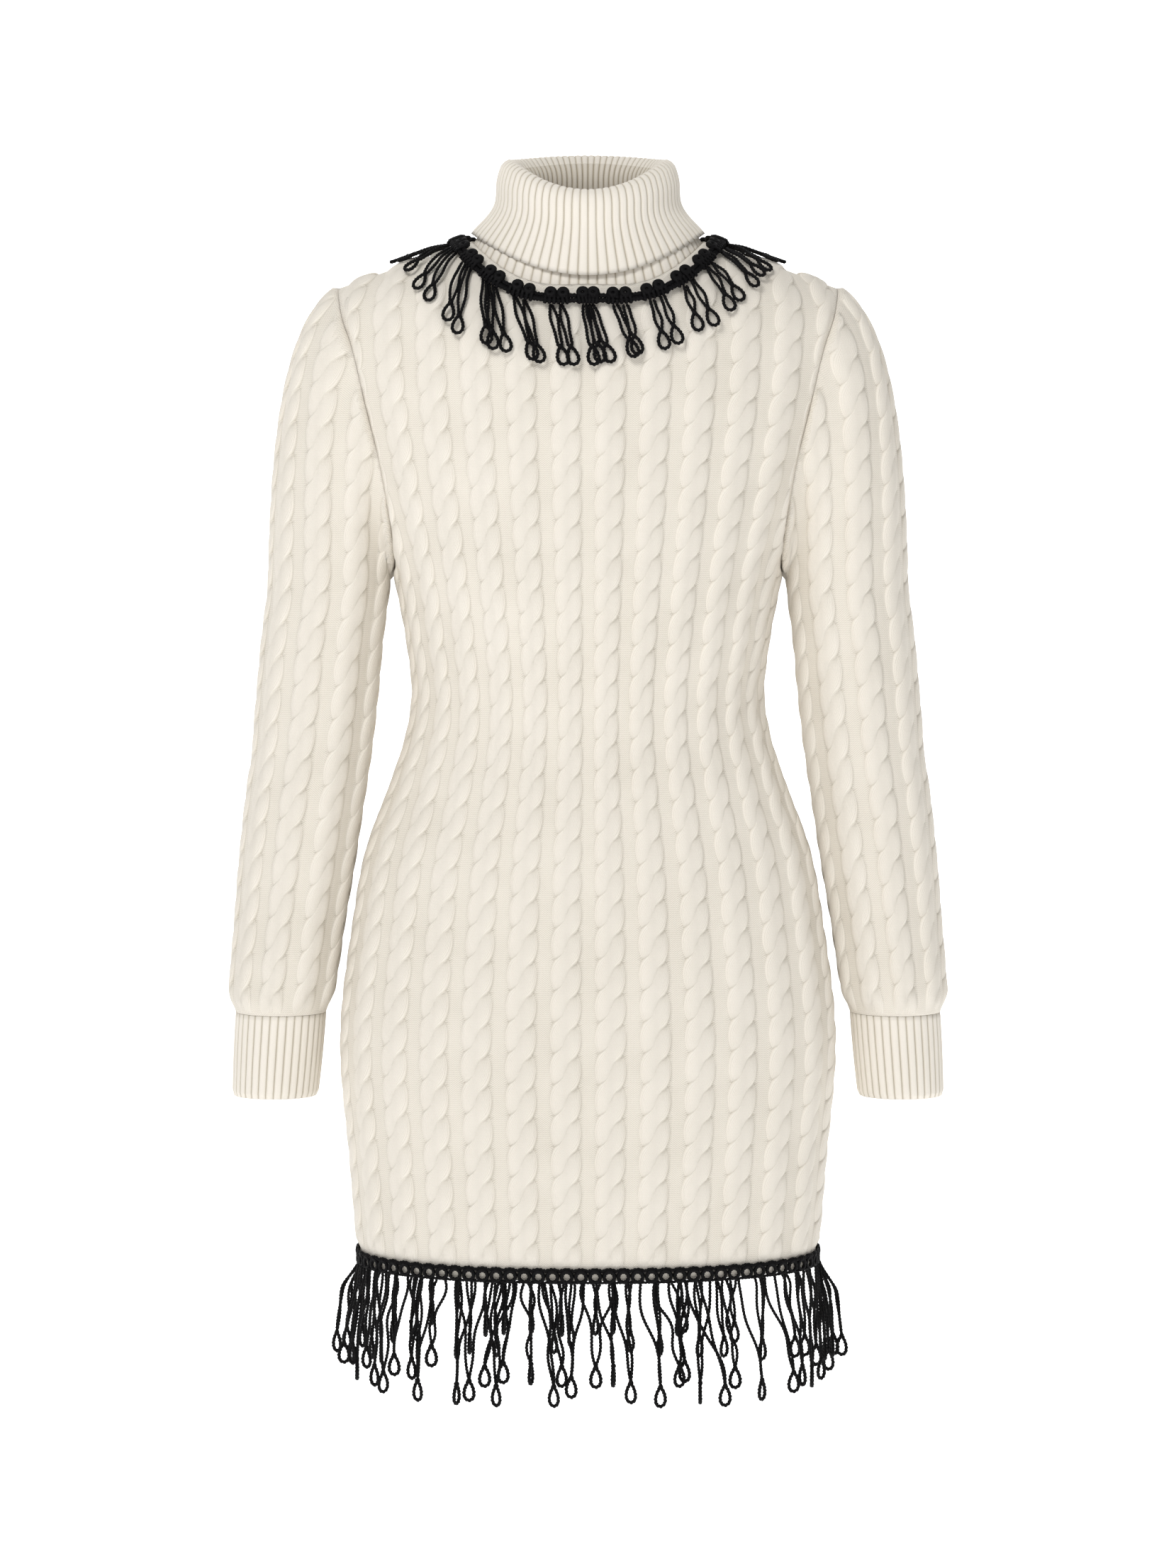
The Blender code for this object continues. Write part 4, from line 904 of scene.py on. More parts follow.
def make_body(name, side, panel):
    surface, armhole, neck = panel
    turn = SIDES[side]["turn"]
    side_neck = neck[0, 0]
    flat_scale = (surface.width, 1.0)
    neck_line = np.concatenate([neck, mirrored(neck)]) * flat_scale
    arm_lines = [line * flat_scale for line in (armhole, mirrored(armhole))]

    def fade(u, v):
        flat = np.stack([u * surface.width, v], axis=1)
        from_neck = distance_to(flat, neck_line[:-1:3], neck_line[1::3])
        from_arm = np.minimum(*(distance_to(flat, line[:-4:4], line[4::4]) for line in arm_lines))
        return faded("hem", v) * faded("neck", from_neck) * faded("armhole", from_arm)

    def border_shift(line):
        place, normal = surface.read(line[:, 0], line[:, 1])
        from_side = np.minimum(line[:, 0], 1 - line[:, 0])
        on_neck = (from_side > side_neck - 1e-6) & (line[:, 1] > 0.1)
        inward = normal.copy()
        inward[np.abs(place[:, 1]) < 1e-5, 1] = 0
        inward[line[:, 1] < 1e-6, 2] = 0
        inward = unit(inward) * WALL
        inward[on_neck] = (0.0, 0.0, 1.2 * WALL)
        inner = place - inward
        for points in (place, inner):
            points[:, 1] = -turn * np.maximum(-turn * points[:, 1], SEAM_GAP / 2)
        return place, inner

    border = body_border(surface, armhole, neck)
    surface.fold(BODY_FOLDS[side])
    grid = cable_grid(BODY_COLUMNS, BODY_REPEAT, float(surface.tops.max()), surface.width)
    return knitted_wall(name, surface, border, np.arange(len(border)), grid, fade, border_shift)


def sleeve_border(surface, outward):
    """The border of a sleeve opened at its seam, and the numbers of its points at the wrist and the cap."""
    wrist = np.stack([np.linspace(0, 1, WRIST_POINTS), np.zeros(WRIST_POINTS)], axis=1)
    seam = spaced(np.array([(1.0, 0.0), (1.0, surface.top(1.0))]), surface, SEAM_STEP)
    part = np.linspace(0, 1, CAP_POINTS)
    half = (1 - (1 - part) ** (1 / CAP_CROWDING)) / 2
    share = np.concatenate([1 - half, half[-2::-1]])
    share = 1 - share[::-1] if outward < 0 else share
    cap = np.stack([share, surface.top(share)], axis=1)
    other_seam = seam[::-1] * (0.0, 1.0)
    border = np.concatenate([wrist[:-1], seam[:-1], cap[:-1], other_seam[:-1]])
    at_wrist = np.arange(len(wrist) - 1)
    at_cap = len(wrist) + len(seam) - 2 + np.arange(len(cap) - 1)
    return border, np.concatenate([at_wrist, at_cap])


def make_sleeve(name, surface, outward):
    border, rims = sleeve_border(surface, outward)

    def fade(u, v):
        return faded("wrist", v) * faded("cap", surface.top(u) - v)

    def border_shift(edge):
        place, normal = surface.read(edge[:, 0], edge[:, 1])
        normal[edge[:, 1] < 1e-6, 2] = 0
        over = edge[:, 1] > 0.1
        normal[over, 0] = outward * np.minimum(outward * normal[over, 0], 0.2)
        return place, place - unit(normal) * WALL

    grid = cable_grid(SLEEVE_COLUMNS, SLEEVE_REPEAT, float(surface.tops.max()), surface.width)
    made = knitted_wall(name, surface, border, rims, grid, fade, border_shift)
    join_points(made)
    return made


# Materials.

def new_group(name, outputs):
    """A group that reads a Place and puts out values."""
    group = bpy.data.node_groups.new(name, "ShaderNodeTree")
    group.interface.new_socket("Place", in_out="INPUT", socket_type="NodeSocketVector")
    for label in outputs:
        group.interface.new_socket(label, in_out="OUTPUT", socket_type="NodeSocketFloat")
    return group, group.nodes.new("NodeGroupInput").outputs[0], group.nodes.new("NodeGroupOutput")


class Maths:
    """Shorthand for chains of maths nodes in one tree."""

    def __init__(self, tree):
        self.tree = tree

    def __call__(self, operation, *values):
        node = self.tree.nodes.new("ShaderNodeMath")
        node.operation = operation
        for socket, value in zip(node.inputs, values):
            if isinstance(value, (int, float)):
                socket.default_value = value
            else:
                self.tree.links.new(value, socket)
        return node.outputs[0]

    def half_wave(self, value, power):
        """A rounded ridge over each whole number's span."""
        return self("POWER", self("SINE", self("MULTIPLY", self("FRACT", value), math.pi)), power)


def pattern_group(name, pattern):
    """A group that gives the height of a pattern of stitches, 0 to 1, at a place in wales and courses."""
    group, place, result = new_group(name, ["Height"])
    split = group.nodes.new("ShaderNodeSeparateXYZ")
    group.links.new(place, split.inputs[0])
    height = pattern(Maths(group), split.outputs[0], split.outputs[1])
    group.links.new(height, result.inputs["Height"])
    return group


def knit_stitches(maths, wale, course):
    """Columns of V's."""
    side = maths("ABSOLUTE", maths("SUBTRACT", maths("FRACT", wale), 0.5))
    leg = maths.half_wave(maths("SUBTRACT", course, maths("MULTIPLY", side, 1.3)), 0.7)
    across = maths("SINE", maths("MULTIPLY", side, 2 * math.pi))
    body = maths("POWER", maths("ABSOLUTE", across), 0.5)
    return maths("MULTIPLY", body, maths("MULTIPLY_ADD", leg, 0.34, 0.66))


def purl_rows(maths, wale, course):
    """Rows of short arcs that lock into each other."""
    wave = maths("MULTIPLY", maths("SINE", maths("MULTIPLY", wale, 2 * math.pi)), 0.26)
    return maths.half_wave(maths("MULTIPLY_ADD", course, 1.35, wave), 0.75)


def fuzz_group():
    """Fine fibres and slow unevenness, each as a value round 0.5."""
    group, place, result = new_group("yarn_fuzz", ["Fibres", "Drift"])
    for scale, detail, socket in ((2600.0, 3.0, "Fibres"), (24.0, 2.0, "Drift")):
        noise = group.nodes.new("ShaderNodeTexNoise")
        noise.inputs["Scale"].default_value = scale
        noise.inputs["Detail"].default_value = detail
        group.links.new(place, noise.inputs["Vector"])
        group.links.new(noise.outputs[0], result.inputs[socket])
    return group


class Yarn:
    """A yarn's material in the making: its shader, and the stitches and fibres that its looks build on."""

    def __init__(self, name, finish, groups):
        self.made = bpy.data.materials.new(name)
        self.made.use_nodes = True
        self.tree = self.made.node_tree
        self.shader = self.tree.nodes["Principled BSDF"]
        for socket, value in finish.items():
            self.shader.inputs[socket].default_value = value
        self.maths = Maths(self.tree)
        self.groups = groups
        place = self.node("UVMap")
        place.uv_map = "stitches"
        self.place = place.outputs[0]
        fuzz = self.use("fuzz", self.node("TexCoord").outputs["Object"])
        self.values = {"stitch": self.use("stitch", self.place)["Height"],
                       "fibres": fuzz["Fibres"], "drift": fuzz["Drift"]}

    def node(self, kind):
        return self.tree.nodes.new("ShaderNode" + kind)

    def use(self, group, place):
        node = self.node("Group")
        node.node_tree = self.groups[group]
        self.tree.links.new(place, node.inputs["Place"])
        return node.outputs

    def attribute(self, name):
        node = self.node("Attribute")
        node.attribute_name = name
        return node.outputs["Fac"]

    def colour(self, shares, stops):
        """Base colour from a ramp over the sum of the named values, each by its own share."""
        shade = 0.0
        for name, share in shares.items():
            shade = self.maths("MULTIPLY_ADD", self.values[name], share, shade)
        node = self.node("ValToRGB")
        for element, (at, colour) in zip(node.color_ramp.elements, (stops[0], stops[-1])):
            element.position, element.color = at, (*colour, 1)
        for at, colour in stops[1:-1]:
            node.color_ramp.elements.new(at).color = (*colour, 1)
        self.tree.links.new(shade, node.inputs[0])
        self.tree.links.new(node.outputs[0], self.shader.inputs["Base Color"])

    def bumps(self, *layers):
        """Bumps over each other, the finest first: the value's name, distance and strength of each."""
        normal = None
        for name, distance, strength in layers:
            node = self.node("Bump")
            node.inputs["Distance"].default_value = distance
            node.inputs["Strength"].default_value = strength
            self.tree.links.new(self.values[name], node.inputs["Height"])
            if normal is not None:
                self.tree.links.new(normal, node.inputs["Normal"])
            normal = node.outputs[0]
        self.tree.links.new(normal, self.shader.inputs["Normal"])


def knit_material(groups):
    """Ivory knitting: stitches by the wale and course, purl rows on the ground, soft fibres over both."""
    yarn = Yarn("ivory_knit", KNIT_FINISH, groups)
    maths, values = yarn.maths, yarn.values
    # painted shade on the purl ground, which lies lower between the cables
    ground = values["ground"] = yarn.attribute("ground")
    # painted shade in the creases beside the cables' grooves
    values["crease_shade"] = yarn.attribute("crease_shade")
    purl = yarn.use("purl", yarn.place)["Height"]
    on_ground = maths("MULTIPLY", maths("MULTIPLY_ADD", purl, 0.68, 0.22), ground)
    on_cable = maths("MULTIPLY", values["stitch"], maths("SUBTRACT", 1.0, ground))
    values["height"] = maths("ADD", on_ground, on_cable)
    # base colour with painted shade: stitch tops lighter, stitch hollows darker
    yarn.colour(KNIT_SHADE, KNIT_RAMP)
    yarn.bumps(("fibres", 0.00035, 0.5), ("height", 0.00045, 0.45))
    return yarn.made


def rib_material(groups):
    """Ivory ribbing: smooth ribs with painted shade in a narrow valley between two and on the inside, fine
    stitches and fibres.
    """
    yarn = Yarn("ivory_rib", KNIT_FINISH, groups)
    split = yarn.node("SeparateXYZ")
    yarn.tree.links.new(yarn.place, split.inputs[0])
    # painted shade on the inside of the collar and the cuffs
    yarn.values["inside"] = yarn.attribute("ground")
    # painted shade: each rib's colour darkens from its ridge into the valley
    yarn.values["ridge"] = yarn.maths.half_wave(split.outputs[0], 0.42)
    yarn.colour(RIB_SHADE, RIB_RAMP)
    yarn.bumps(("fibres", 0.0003, 0.5), ("stitch", 0.00022, 0.4))
    return yarn.made


def crochet_material(groups):
    """Black crochet cotton: twisted strands along each cord, with a slight sheen."""
    yarn = Yarn("black_crochet", CROCHET_FINISH, groups)
    # base colour with painted shade in the grooves between the twisted plies
    yarn.colour(CROCHET_SHADE, CROCHET_RAMP)
    yarn.bumps(("fibres", 0.0002, 0.4), ("stitch", 0.0005, 0.6))
    return yarn.made


def stage_material():
    made = bpy.data.materials.new("stage_white")
    made.use_nodes = True
    shader = made.node_tree.nodes["Principled BSDF"]
    shader.inputs["Base Color"].default_value = (*STAGE_WHITE, 1)
    shader.inputs["Roughness"].default_value = 0.9
    shader.inputs["Emission Color"].default_value = (1, 1, 1, 1)
    shader.inputs["Emission Strength"].default_value = STAGE_GLOW
    return made


# Stage, lights and camera.

def add_stage():
    white = stage_material()
    places = {"floor": ((0, 0, FLOOR_Z), (0, 0, 0)),
              "backdrop": ((0, BACKDROP_Y, FLOOR_Z + 5), (math.pi / 2, 0, 0))}
    for name, (location, rotation) in places.items():
        bpy.ops.mesh.primitive_plane_add(size=STAGE_SIZE, location=location, rotation=rotation)
        piece = take_active(name)
        piece.data.materials.append(white)


def add_light(name, location, target, size, power):
    data = bpy.data.lights.new(name, "AREA")
    data.shape, data.size, data.energy = "SQUARE", size, power
    lamp = bpy.data.objects.new(name, data)
    lamp.location = location
    lamp.rotation_euler = (Vector(target) - Vector(location)).to_track_quat("-Z", "Y").to_euler()
    bpy.context.scene.collection.objects.link(lamp)


def add_camera():
    data = bpy.data.cameras.new("camera")
    data.lens, data.sensor_width, data.shift_y = (CAMERA[key] for key in ("lens", "sensor", "shift"))
    camera = bpy.data.objects.new("camera", data)
    camera.location = CAMERA["place"]
    camera.rotation_euler = (math.radians(90 - CAMERA["down"]), 0, 0)
    bpy.context.scene.collection.objects.link(camera)
    bpy.context.scene.camera = camera


# Collar and cuffs.

def oval(angle, half_width, front, back, squareness=2.0):
    s, c = np.sin(angle), np.cos(angle)
    x = half_width * np.sign(s) * np.abs(s) ** (2 / squareness)
    y = -np.where(c > 0, front, back) * np.sign(c) * np.abs(c) ** (2 / squareness)
    return x, y


def collar_ring(angle, half_width, front, back, z_front, z_side, z_back):
    x, y = oval(angle, half_width, front, back)
    ends = np.where(np.cos(angle) > 0, z_front, z_back)
    return np.stack([x, y, z_side + (ends - z_side) * np.cos(angle) ** 2], axis=1)


def base_ring(angle, seam, inset):
    """The collar's lower edge, with each point straight below the one that a rib comes down from."""
    fine = np.linspace(0, 2 * math.pi, 4001)[:-1]
    x, y = oval(fine, NECK_HALF_WIDTH - inset, NECK_DEPTHS["front"] - inset, NECK_DEPTHS["back"] - inset,
                NECK_SQUARENESS)
    order = np.argsort(np.arctan2(x, -y))
    polar = np.arctan2(x, -y)[order]
    above_x, above_y = oval(angle, *COLLAR["stand_top"][:3])
    wanted = np.arctan2(above_x, -above_y)
    x, y = (np.interp(wanted, polar, values[order], period=2 * math.pi) for values in (x, y))
    seam_angle = np.arctan2(seam[:, 0], -seam[:, 1])
    order = np.argsort(seam_angle)
    z = np.interp(wanted, seam_angle[order], seam[order, 2], period=2 * math.pi)
    return np.stack([x, y, z - COLLAR_DROP], axis=1)


def through(rings, step):
    """Rings on a smooth profile through the rings given, about a step apart."""
    rings = np.array(rings)
    at = np.append(0, np.cumsum(np.linalg.norm(np.diff(rings, axis=0), axis=2).mean(axis=1)))
    slope = np.gradient(rings, at, axis=0)
    made = []
    for where in np.linspace(0, at[-1], max(2, round(at[-1] / step) + 1)):
        i = min(int(np.searchsorted(at, where, side="right")) - 1, len(at) - 2)
        length = at[i + 1] - at[i]
        t = (where - at[i]) / length
        made.append(hermite(t, length, rings[i:i + 2], slope[i:i + 2]))
    return np.array(made)


def rib_angles(ribs):
    return 2 * math.pi * (np.arange(ribs)[:, None] + np.array(RIB_STATIONS)[None]).ravel() / ribs


def quad_places(u_low, u_high, v):
    """UV corners of a grid of quads, from the u on both sides of a column and the v along the rows."""
    shape = (len(v) - 1, len(u_low))
    u_low, u_high = (np.broadcast_to(u, shape) for u in (u_low, u_high))
    v_low, v_high = (np.broadcast_to(side[:, None], shape) for side in (v[:-1], v[1:]))
    corners = ((u_low, v_low), (u_high, v_low), (u_high, v_high), (u_low, v_high))
    return np.stack([np.stack(pair, axis=2) for pair in corners], axis=2).reshape(-1, 4, 2)


def ribbed_tube(name, rows, raised, ribs, inner):
    """A closed tube of cloth from the rings round its profile.

    raised is how far each ring has ribs, and inner marks the rings that lie inside, which get painted
    shade.
    """
    before, after = np.roll(rows, 1, axis=0), np.roll(rows, -1, axis=0)
    left, right = np.roll(rows, 1, axis=1), np.roll(rows, -1, axis=1)
    normal = unit(np.cross(right - left, after - before))
    share = np.tile(np.array(RIB_STATIONS), ribs)
    relief = RIB_RISE * (np.sin(math.pi * share) ** RIB_FULLNESS - RIB_LEVEL)
    points = rows + normal * (raised[:, None] * relief[None])[..., None]
    count_j, count_i = rows.shape[:2]
    number = np.arange(count_i * count_j).reshape(count_j, count_i)
    along, up = np.roll(number, -1, axis=1), np.roll(number, -1, axis=0)
    corner = np.roll(along, -1, axis=0)
    quads = np.stack([number, along, corner, up], axis=2).reshape(-1, 4)
    lengths = np.append(0, np.cumsum(np.linalg.norm(np.diff(rows, axis=0), axis=2).mean(axis=1)))
    closing = lengths[-1] + np.linalg.norm(rows[0] - rows[-1], axis=1).mean()
    share_next = np.append(share[1:], 1.0)
    share_next[share_next == 0] = 1.0
    places = quad_places(share, share_next, np.append(lengths, closing) / RIB_COURSE)
    kinds = np.repeat(inner.astype(float), count_i)
    return build_object(name, points.reshape(-1, 3), [quads], [(places, kinds)])


def neck_seam(front, back):
    made = []
    for surface, _, neck in (front, back):
        line = np.concatenate([neck, mirrored(neck)[1:]])
        made.append(surface.read(line[:, 0], line[:, 1])[0])
    return np.concatenate(made)


def make_collar(seam):
    angle = rib_angles(COLLAR_RIBS)
    rings = {key: collar_ring(angle, *sizes) for key, sizes in COLLAR.items()}
    inside, outside = (base_ring(angle, seam, inset) for inset in (BASE_INSIDE, BASE_OUTSIDE))
    turned = through([rings[key] for key in TURNED] + [inside], COLLAR_STEPS["turned"])
    stand = through([outside, rings["stand_top"]], COLLAR_STEPS["stand"])
    under = through([rings[key] for key in ("fold_under", "layer_inside", "edge_inside")],
                    COLLAR_STEPS["under"])
    rows = np.concatenate([turned, stand, under])
    ribbed = len(turned) + len(stand)
    raised = np.append(np.ones(ribbed), np.zeros(len(under)))
    raised[[0, len(turned) - 1, len(turned), ribbed - 1]] = (0.6, 0.3, 0.6, 0.0)
    front = rows[:, 0]
    # the inside of the turned layer, low and near the neck, gets painted shade
    low, within = front[:, 2] < COLLAR_INSIDE[0], np.hypot(front[:, 0], front[:, 1]) < COLLAR_INSIDE[1]
    inner = (np.arange(len(rows)) < len(turned)) & low & within
    return ribbed_tube("rib_collar", rows, raised, COLLAR_RIBS, inner)


def make_cuff(name, side):
    angle = rib_angles(CUFF_RIBS)
    top = SLEEVE_END_Z - SEAM_GAP

    def ring(part, inward):
        centre, wide, deep = (a + (b - a) * part for a, b in zip(CUFF_TOP, CUFF_END))
        x = centre + (wide - inward) * np.sin(angle)
        z = np.full(len(angle), top + (CUFF_END_Z - top) * part)
        return np.stack([x, -(deep - inward) * np.cos(angle), z], axis=1)

    down = np.linspace(1, 0, CUFF_RINGS)
    rounding = CUFF_EDGE * np.clip(1 - (1 - down) * 14, 0, 1) ** 2
    outer = [ring(part, more - CUFF_BELLY * math.sin(math.pi * part)) for part, more in zip(down, rounding)]
    inner = [ring(part, WALL + 0.0003 - RIB_RISE / 2) for part in down[::-1]]
    rows = np.array(outer + inner)
    raised = np.append(np.ones(len(outer)), np.full(len(inner), 0.7))
    raised[[0, len(outer) - 1, len(outer), -1]] = (0.7, 0.5, 0.2, 0.3)
    if side < 0:
        rows = np.roll(rows[:, ::-1] * (-1, 1, 1), 1, axis=1)
    # the cuff's inner rings get painted shade
    return ribbed_tube(name, rows, raised, CUFF_RIBS, np.arange(len(rows)) >= len(outer))


# Crochet.

def cord_rings(path, radius, out):
    """Rings of points round a cord whose plies twist, how far along each ring lies, and their number."""
    length = lengths_along(path)
    steps = max(4, round(length[-1] / CORD_STEP))
    even = np.linspace(0, length[-1], steps)
    centre = np.stack([np.interp(even, length, path[:, k]) for k in range(3)], axis=1)
    out = np.broadcast_to(np.asarray(out, float), path.shape)
    out = np.stack([np.interp(even, length, out[:, k]) for k in range(3)], axis=1)
    tangent = unit(np.gradient(centre, axis=0))
    side = unit(np.cross(tangent, out))
    out = unit(np.cross(side, tangent))
    turn = 2 * math.pi * np.arange(CORD_SIDES) / CORD_SIDES
    wave = 2 * math.pi * even[:, None] / TWIST_PITCH
    size = radius * (1 + CORD_PLIES * np.sin(wave + turn) + CORD_BEADS * np.cos(2 * wave))
    number = np.arange(steps)
    ends = np.minimum(1, 0.45 + np.minimum(number, number[::-1]) / 2)[:, None]
    size = (size * ends)[..., None]
    around = np.cos(turn)[:, None] * side[:, None] + np.sin(turn)[:, None] * out[:, None]
    return centre[:, None] + size * around, even, steps


class Cords:
    """Bumpy crochet cords gathered into one mesh."""

    def __init__(self):
        self.points, self.faces, self.places, self.count = [], [], [], 0
        self.caps, self.cap_places = [], []

    def add(self, path, radius, out):
        rings, even, steps = cord_rings(np.asarray(path, float), radius, out)
        number = self.count + np.arange(steps * CORD_SIDES).reshape(steps, CORD_SIDES)
        turned = np.roll(number, -1, axis=1)
        quads = np.stack([number[:-1], turned[:-1], turned[1:], number[1:]], axis=2)
        self.faces.append(quads.reshape(-1, 4))
        u = np.arange(CORD_SIDES + 1) * 2.0 / CORD_SIDES
        self.places.append(quad_places(u[:-1], u[1:], even / TWIST_PITCH))
        self.caps += [number[0, ::-1], number[-1]]
        self.cap_places += [np.zeros((CORD_SIDES, 2))] * 2
        self.points.append(rings.reshape(-1, 3))
        self.count += steps * CORD_SIDES

    def finish(self, name):
        quads, caps = np.concatenate(self.faces), np.array(self.caps)
        return build_object(name, np.concatenate(self.points), [quads, caps],
                            [(np.concatenate(self.places), 0.0), (np.array(self.cap_places), 0.0)])


def basis(right, out, up, centre):
    """A matrix that sets a shape modelled with X right, Y inward and Z up against the cloth."""
    rows = np.stack([right, -np.asarray(out), up, centre], axis=1)
    return Matrix(np.vstack([rows, (0, 0, 0, 1)]).tolist())


def take_active(name):
    made = bpy.context.object
    made.name = made.data.name = name
    return made


def model_ring(name, sizes):
    """A small crocheted ring that faces the front, thicker over its top where its sizes say so."""
    around, across = sizes["segments"]
    bpy.ops.mesh.primitive_torus_add(major_radius=sizes["middle"], minor_radius=sizes["thick"],
                                     major_segments=around, minor_segments=across,
                                     rotation=(math.pi / 2, 0, 0))
    ring = take_active(name)
    bpy.ops.object.transform_apply(location=False, rotation=True, scale=False)
    for point in ring.data.vertices:
        angle = math.atan2(point.co.z, point.co.x)
        middle = Vector((math.cos(angle), 0, math.sin(angle))) * sizes["middle"]
        top = max(0.0, math.sin(angle))
        size = 1 + sizes["over"] * top + sizes["bumps"] * math.sin(9 * angle)
        point.co = middle + (point.co - middle) * size
        point.co.z += sizes["rise"] * top
    return ring


def model_knot():
    bpy.ops.mesh.primitive_ico_sphere_add(subdivisions=2, radius=1.0, scale=KNOT)
    knot = take_active("knot")
    bpy.ops.object.transform_apply(location=False, rotation=False, scale=True)
    for number, point in enumerate(knot.data.vertices):
        point.co *= 1 + KNOT_BUMPS * math.sin(2.4 * number)
    return knot


def copied(name, model, matrices):
    """Copies of a model, each placed by its own matrix, joined into one piece."""
    made = []
    for matrix in matrices:
        twin = model.copy()
        twin.data = model.data.copy()
        twin.data.transform(matrix)
        bpy.context.scene.collection.objects.link(twin)
        made.append(twin)
    bpy.ops.object.select_all(action="DESELECT")
    for twin in made:
        twin.select_set(True)
    bpy.context.view_layer.objects.active = made[0]
    bpy.ops.object.join()
    joined = take_active(name)
    joined.data.uv_layers[0].name = "stitches"
    joined.data.polygons.foreach_set("use_smooth", np.ones(len(joined.data.polygons), bool))
    return joined


def teardrop(height, width):
    """A hanging loop, from its knot round to its knot again: places to the side and below."""
    turn = np.linspace(0, 2 * math.pi, 33)
    sideways = width / 2 * np.sin(turn) * np.abs(np.sin(turn / 2)) ** 0.9 * 1.15
    return sideways, height * (1 - np.cos(turn)) / 2


# Hem trim.

def hem_spot(surface, across, up, lift):
    """A point of the hem trim with the ways right and out there."""
    place, normal = surface.read(np.clip(across, 0.0006, 0.9994), up)
    out = unit(normal * (1.0, 1.0, 0.0))
    right = unit(np.cross((0.0, 0.0, -1.0), out))
    return place + out * lift, right, out


def add_hem_lines(surface, cords):
    """The chain below the rings and the row of small arches over them."""
    across = np.linspace(0, 1, HEM_RINGS * 4 + 1)
    line, _, out = hem_spot(surface, across, CHAIN["level"], TRIM_LIFT)
    cords.add(line, CHAIN["radius"], out)
    across = np.linspace(0, 1, HEM_RINGS * 8 + 1)
    line, _, out = hem_spot(surface, across, RING_LEVEL, TRIM_LIFT + ARCHES["lift"])
    line[:, 2] += ARCHES["level"] + ARCHES["rise"] * np.abs(np.sin(math.pi * across * HEM_RINGS))
    cords.add(line, ARCHES["radius"], out)


def hem_strand(root, knot, side, number, early, right, out):
    """The path of one strand from its root to the knot, waving a little as it hangs."""
    t = np.linspace(0, 1, 40)
    belly = np.sin(math.pi * t)
    path = root + (knot - root) * t[:, None]
    path[:, 0] += (knot[0] - root[0]) * (ease(t * early) - t) * STRAND_GATHER
    bow = (STRAND_BOW[0] + STRAND_BOW[1] * math.sin(1.7 * number + side)) * side
    waves = math.pi * t * (2 + number % 2)
    sideways = bow * np.sin(waves) * (1 - 0.25 * t)
    sideways += STRAND_DRIFT * np.sin(2 * math.pi * (t * 1.5 + 0.13 * number)) * belly
    outward = side * STRAND_DEPTH * np.cos(waves) * belly
    return path + sideways[:, None] * right + outward[:, None] * out


def make_hem(half, surface, models):
    """Rings, lines and looped cords of one half of the hem; the back's cords hang a little wider."""
    turn, style = SIDES[half]["turn"], HALF_STYLES[half]
    down = np.array((0.0, 0.0, -1.0))
    rings, knots, cords = [], [], Cords()
    for i in range(HEM_RINGS):
        centre, right, out = hem_spot(surface, (i + 0.5) / HEM_RINGS, RING_LEVEL, TRIM_LIFT)
        rings.append(basis(right, out, -down, centre))
    add_hem_lines(surface, cords)
    for number, (ring_a, ring_b, tip_x, depth) in enumerate(HEM_PENDANTS):
        places = [(ring + FIRST_RING) / HEM_RINGS for ring in (ring_a, ring_b, (ring_a + ring_b) / 2)]
        swing = style["swing"][0] + style["swing"][1] * math.sin(2.3 * number)
        if half == "back":
            places = [1 - place for place in places]
            tip_x *= BACK_SPREAD
        elif number % 5 == 0:
            swing = EDGEWISE
        middle, right, out = hem_spot(surface, places[2], CHAIN["level"], TRIM_LIFT)
        drop = HEM_REACH * depth - LOOP["height"]
        knot_y = middle[1] - turn * KNOT_DEPTH * math.sin(1.7 * number)
        knot = np.array((tip_x, knot_y, middle[2] - drop))
        for side, place in zip((1, -1), places):
            root, _, _ = hem_spot(surface, place, CHAIN["level"], TRIM_LIFT + STRANDS_APART * side)
            cords.add(hem_strand(root, knot, side, number, style["early"], right, out), CORD_RADIUS, out)
        facing = math.cos(swing) * right + math.sin(swing) * out
        sideways, below = teardrop(LOOP["height"], LOOP["width"])
        loop = knot + sideways[:, None] * facing + below[:, None] * down
        cords.add(loop, LOOP_RADIUS, unit(np.cross(facing, -down)))
        knots.append(basis(right, out, -down, knot))
    return [copied(f"hem_rings_{half}", models["ring"], rings), cords.finish(f"hem_cords_{half}"),
            copied(f"hem_knots_{half}", models["knot"], knots)]


# Neck trim.

def neck_line_of(panel):
    """Reads the braid's place: a share along the neck seam, a distance from it and a lift off the cloth."""
    surface, _, neck = panel
    width = np.array([surface.width, 1.0])
    line = spaced(np.concatenate([neck, mirrored(neck)[1:]]), surface, 0.002)
    count = np.arange(len(line))
    along = np.gradient(line * width, axis=0)
    away = unit(np.stack([along[:, 1], -along[:, 0]], axis=1))
    away[0], away[-1] = (-1.0, 0.0), (1.0, 0.0)
    blend = np.minimum(count, count[::-1])[:, None] < 4
    away = np.where(blend, away * (1.0, 0.6), away) / width

    def spot(share, distance, lift):
        at = np.asarray(share, float) * (len(line) - 1)
        place = np.stack([np.interp(at, count, line[:, k]) for k in (0, 1)], axis=-1)
        way = np.stack([np.interp(at, count, away[:, k]) for k in (0, 1)], axis=-1)
        point, normal = surface.at(place + way * np.asarray(distance)[..., None])
        return point + normal * np.asarray(lift)[..., None], normal

    return spot


def add_braid(spot, cords):
    share = np.linspace(0, 1, 160)
    for distance, wave in BRAID_LINES:
        lift = BRAID_LIFT + BRAID_WAVE * np.sin(60 * share + wave)
        line, normal = spot(share, np.full(len(share), NECK_NEAR + distance), lift)
        cords.add(line, BRAID_RADIUS, normal)


